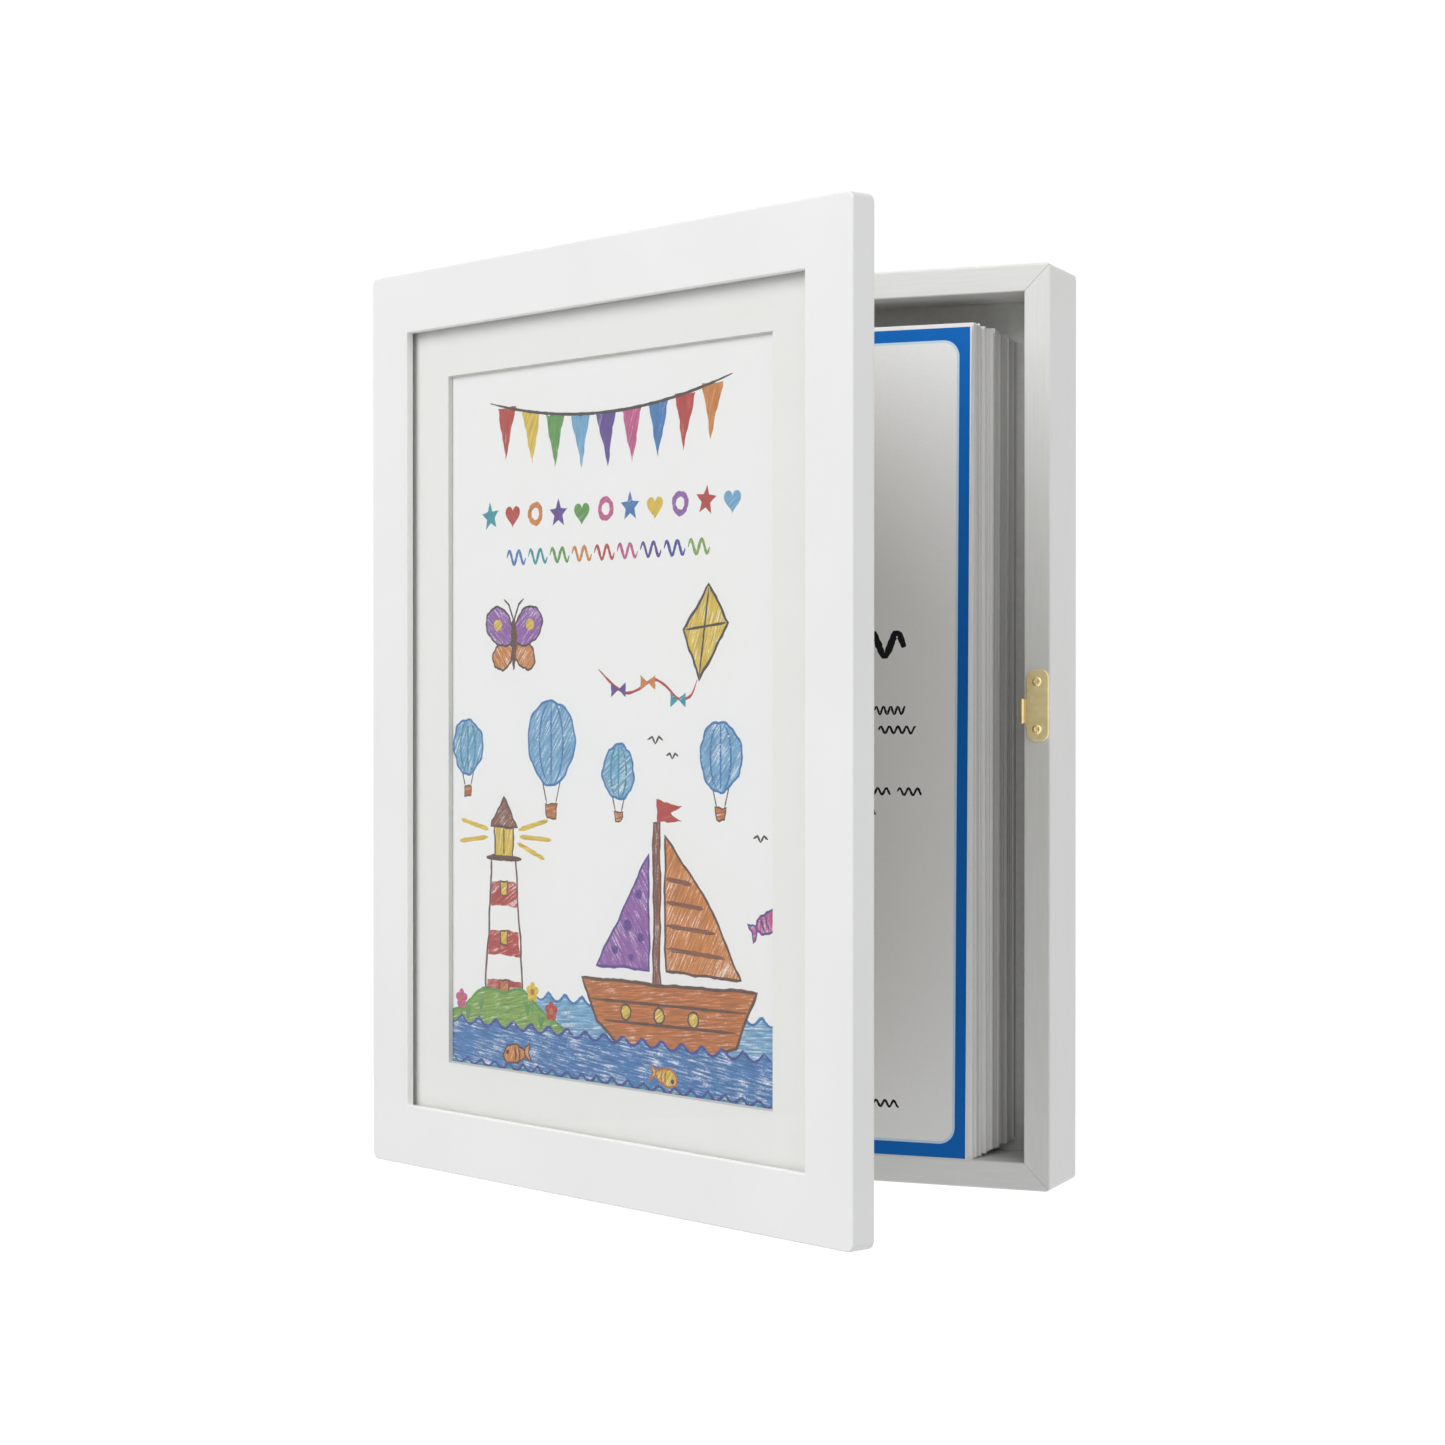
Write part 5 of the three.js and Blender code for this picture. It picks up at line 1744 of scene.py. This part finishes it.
def addHinges():
    # the box leaf has the outer two knuckles, the door leaf the middle one; a pin goes through them
    k, pin = hingeLeaf, hingePin
    inner, outer = k["middleKnuckle"], k["middleKnuckle"] + k["knuckleGap"]
    tabsOf = {"box": [(outer, k["half"]), (-k["half"], -outer)], "door": [(-inner, inner)]}
    radiiOf = {"box": k["sunkHole"], "door": k["sunkHole"][::-1]}
    for label, middle in hinge["middles"].items():
        for body, tabs in tabsOf.items():
            x, reach = hinge["screwX"], hinge["screwReach"]
            holes = [(x, end * reach, *radiiOf[body]) for end in (1, -1)]
            plate = drilledPlate(leafOutline(tabs), holes, *k[f"{body}Y"], k["edge"])
            surface = moved(joined([plate] + [knuckle(*tab) for tab in tabs]), z=middle)
            if body == "door":
                surface = opened(surface)
            node = f"hinge_{label}_{body}_leaf"
            addPiece(spokenName(node), surface, [finishes["brass"]], body, [node])
        top, cap, edge = pin["top"], pin["cap"], pin["edge"]
        head = arcPoints((pin["head"] - edge, top + cap - edge), edge, 0, 1, 3)
        neck = [(pin["head"], top), (pin["radius"], top)]
        upper = np.vstack([[(poleRadius, top + cap)], head[::-1], neck])
        shape = stoodUp(lathe(np.vstack([upper, upper[::-1] * [1, -1]]), 32))
        node = f"hinge_{label}_pin"
        surface = moved(shape, hinge["x"], hinge["y"], middle)
        addPiece(spokenName(node), surface, [finishes["brass"]], "box", [node])


addHinges()


# Catch clip

clip = {
    "x0": 115.4,
    "x1": 127.4,
    "innerRadius": 0.3,
    "outerRadius": 1.6,
    "halfWidth": 4.0,
    "baseY": (-35.3, -34.68),
    "edge": 0.1,
    "sunkHole": (1.25, 2.0),
    "tongueX": 115.65,
    "thickness": 0.5,
    "straightY": -32.2,
    "bulgeX": 116.45,
    "bulgeY": -30.96,
    "tipY": -29.1,
    "pitch": 0.3,
    "tongueEdge": 0.08,
}


def addCatchClip():
    # A drilled base, and a tongue: a strip of even thickness along a bent path, its bends eased by
    # averaging, carried across the clip's width.
    k = clip
    half, pull = k["halfWidth"], k["tongueEdge"]
    outline = roundedBox(k["x0"], k["x1"], -half, half, k["innerRadius"], 5, k["outerRadius"])
    base = drilledPlate(outline, [(catch["screwX"], 0, *k["sunkHole"])], *k["baseY"], k["edge"])
    bends = [
        (k["tongueX"], k["baseY"][0] + k["edge"]), (k["tongueX"], k["straightY"]),
        (k["bulgeX"], k["bulgeY"]), (k["tongueX"], k["tipY"]),
    ]
    path = resampled(np.array(bends), k["pitch"], closed=False)
    for _ in range(3):
        path[1:-1] = (path[:-2] + 2 * path[1:-1] + path[2:]) / 4
    along = np.gradient(path, axis=0)
    normal = np.stack([-along[:, 1], along[:, 0]], -1) / np.hypot(*along.T)[:, None]
    left, right = path + normal * k["thickness"] / 2, path - normal * k["thickness"] / 2
    section = np.concatenate([right, left[::-1]])
    levels = ((-half, pull), (-half + pull, 0.0), (half - pull, 0.0), (half, pull))
    rings = [np.insert(outward(section, -inset), 2, z, axis=1) for z, inset in levels]
    points, faces = ringStack(np.array(rings))
    tongue = (points, [group[:, ::-1] for group in faces])
    surface = opened(moved(joined([base, tongue]), z=catch["middle"]))
    addPiece("catchClip", surface, [finishes["brass"]], "door", ["catch_clip"])


addCatchClip()


# Turn buttons

button = {
    "length": 10.5,
    "radius": 4.2,
    "tip": 2.94,
    "y": (-35.3, -34.5),
    "holeRadius": 1.2,
    "edge": 0.14,
}


def addTurnButtons():
    # two arcs round the screw and the tip, joined by their common tangents
    k = button
    meet = math.acos((k["radius"] - k["tip"]) / k["length"]) / quarterTurn
    big = arcPoints((0, 0), k["radius"], meet, 4 - meet, 28)
    small = arcPoints((k["length"], 0), k["tip"], -meet, meet, 16)
    outline = np.concatenate([big, small])
    hole = (0, 0, k["holeRadius"], k["holeRadius"])
    for row, rise in (("upper", 1), ("lower", -1)):
        for side, sign in (("left", -1), ("right", 1)):
            shape = outline if sign < 0 else (outline * [-1, 1])[::-1]
            plate = drilledPlate(shape, [hole], *k["y"], k["edge"])
            x, z = sign * buttonPlace["x"], doorMiddle + rise * buttonPlace["reach"]
            surface = opened(moved(plate, x, 0, z))
            node = f"turn_button_{row}_{side}"
            addPiece(spokenName(node), surface, [finishes["zinc"]], node, [node])


addTurnButtons()


# Hangers

hanger = {
    "half": 23,
    "halfHeight": 5,
    "endRadius": 0.8,
    "seatY": -2.9,
    "thickness": 0.7,
    "rise": 0.99,
    "foot": 15,
    "ramp": 13,
    "teeth": 9,
    "toothDepth": 1.6,
    "places": {"portrait": (0.0, -31.05), "landscape": (94.6, boxMiddle)},
}
nail = {
    "reach": 19,
    "y": -2.1,
    "length": 2.9,
    "head": 1.61,
    "rise": 0.6,
    "shank": 0.7,
    "taper": 0.6,
    "point": 0.1,
}


def hangerShape():
    # A strip along the first axis. Its lower edge is a triangle wave between the ramps, its depth
    # rises from the feet to the middle by a smooth step, and its ends are round.
    k = hanger
    half, ramp, endRadius = k["half"], k["ramp"], k["endRadius"]
    fine = endRadius * np.linspace(0, 1, 6) ** 2
    x = np.unique(np.concatenate([
        np.linspace(-half, half, 47), np.linspace(-ramp, ramp, 4 * k["teeth"] + 1),
        fine - half, half - fine,
    ]).round(4))
    phase = (x + ramp) / (2 * ramp) * k["teeth"]
    tooth = k["toothDepth"] * (1 - abs(phase % 1 - 0.5) * 2) * (abs(x) < ramp)
    past = np.clip(abs(x) - half + endRadius, 0, endRadius)
    corner = endRadius - np.sqrt(np.clip(endRadius ** 2 - past ** 2, 0, None))
    low, high = -k["halfHeight"] + tooth + corner, k["halfHeight"] - corner
    climb = np.clip((k["foot"] - abs(x)) / (k["foot"] - ramp), 0, 1)
    y = k["seatY"] + k["rise"] * climb ** 2 * (3 - 2 * climb)
    v = np.linspace(0, 1, 7)[:, None]
    front = np.stack([x + 0 * v, y + 0 * v, low + (high - low) * v], -1)
    return gridShell(front, front + [0, k["thickness"], 0])


def nailProfile():
    # a domed head, a straight shank and a blunt point
    k = nail
    dome = arcPoints((0, 0), 1, 0, 1, 6)[::-1] * [k["head"], k["rise"]]
    shank = [
        (k["shank"], 0.0), (k["shank"], k["taper"] - k["length"]), (k["point"], -k["length"])
    ]
    return np.vstack([[(poleRadius, k["rise"])], dome[1:], shank])


def addHangers():
    # one for each way of hanging: the landscape one is turned by a quarter turn
    profile = nailProfile()
    for label, (x, z) in hanger["places"].items():
        points, faces = hangerShape()
        if label == "landscape":
            points = np.stack([points[:, 2], points[:, 1], -points[:, 0]], -1)
        surface = moved((points, faces), x, 0, z)
        node = f"hanger_{label}"
        addPiece(spokenName(node), surface, [finishes["zinc"]], "box", [node], 24)
        for number, end in ((1, -1), (2, 1)):
            reach = end * nail["reach"]
            dx, dz = (reach, 0) if label == "portrait" else (0, -reach)
            surface = placed(lathe(profile, 28), x + dx, nail["y"], z + dz, 1)
            name = f"{node}_nail_{number}"
            addPiece(spokenName(name), surface, [finishes["zinc"]], "box", [name])


addHangers()
print("stage: screws, strike plate, hinges, clip, turn buttons and hangers")


# Lamps, world and floor

lamps = {
    "key": {"place": (-1.6, -2.4, 1.95), "size": 2.3, "watts": 82},
    "rightHigh": {"place": (1.7, -1.3, 1.5), "size": 2.2, "watts": 14},
    "frontRight": {"place": (1.3, -2.3, 0.9), "size": 1.6, "watts": 4},
    "side": {"place": (2.4, 0.5, 0.0), "size": 1.6, "watts": 10},
}
lampAim = (0, 0, -0.16)
studio = {
    "light": "#EBEEF1",
    "strength": 0.4,
    "backdrop": "#FFFFFF",
    "floor": "#E8E8E8",
    "seenFloor": "#C4C4C4",
    "floorGlow": 0.93,
    "floorZ": -1.3,
    "floorHalf": 7.0,
    "floorThickness": 0.005,
}


def addLamps():
    # square lamps: each is turned and tilted so that it faces the frame's middle
    for name, lamp in lamps.items():
        data = bpy.data.lights.new(name, "AREA")
        data.size = lamp["size"]
        data.energy = lamp["watts"]
        obj = bpy.data.objects.new(name, data)
        obj.location = lamp["place"]
        aim = np.array(lampAim) - np.array(lamp["place"])
        turn = math.atan2(aim[1], aim[0]) - quarterTurn
        tilt = math.atan2(math.hypot(aim[0], aim[1]), -aim[2])
        obj.rotation_euler = (tilt, 0, turn)
        scene.collection.objects.link(obj)


def seenShare(tree):
    # 1 for a ray from the camera, a gloss or a clear pane: the largest of the three flags
    path = addNode(tree, "ShaderNodeLightPath")
    share = path.outputs["Is Camera Ray"]
    for name in ("Is Glossy Ray", "Is Transmission Ray"):
        both = {0: share, 1: path.outputs[name]}
        share = addNode(tree, "ShaderNodeMath", {"operation": "MAXIMUM"}, both).outputs[0]
    return share


def addWorld():
    # plain studio light from all round; the camera, metal and the clear pane see white
    world = bpy.data.worlds.new("studio")
    scene.world = world
    world.use_nodes = True
    tree = world.node_tree
    seen = seenShare(tree)
    background = tree.nodes["Background"]
    strength = addNode(tree, "ShaderNodeMapRange", {"To Min": studio["strength"]}, {"Value": seen})
    tree.links.new(strength.outputs["Result"], background.inputs["Strength"])
    tint = coat(tree, studio["light"], studio["backdrop"], seen, 0.0, 1.0)
    tree.links.new(tint, background.inputs["Color"])


def addFloor():
    # pale studio floor well below the frame; white to the camera except where shade falls
    half = studio["floorHalf"]
    x, y = np.meshgrid(*[np.linspace(-half, half, 9)] * 2)
    front = np.stack([x, y, np.full_like(x, studio["floorZ"])], -1) / mm
    mesh = meshFrom("floor", *gridShell(front, front - [0, 0, studio["floorThickness"] / mm]))
    floor = bpy.data.objects.new("floor", mesh)
    scene.collection.objects.link(floor)
    material, tree, shader = newMaterial("paleStudioFloor", studio["floor"], 0.9)
    glow = addNode(tree, "ShaderNodeEmission", {"Strength": studio["floorGlow"]})
    matte = addNode(tree, "ShaderNodeBsdfDiffuse", {"Color": linearOf(studio["seenFloor"])})
    lit = addNode(tree, "ShaderNodeAddShader", {}, {0: glow.outputs[0], 1: matte.outputs[0]})
    parts = {0: seenShare(tree), 1: shader.outputs[0], 2: lit.outputs[0]}
    mix = addNode(tree, "ShaderNodeMixShader", {}, parts)
    tree.links.new(mix.outputs[0], tree.nodes["Material Output"].inputs["Surface"])
    mesh.materials.append(material)


addLamps()
addWorld()
addFloor()
scene.view_settings.view_transform = "Standard"
print("stage: lamps, world and floor")
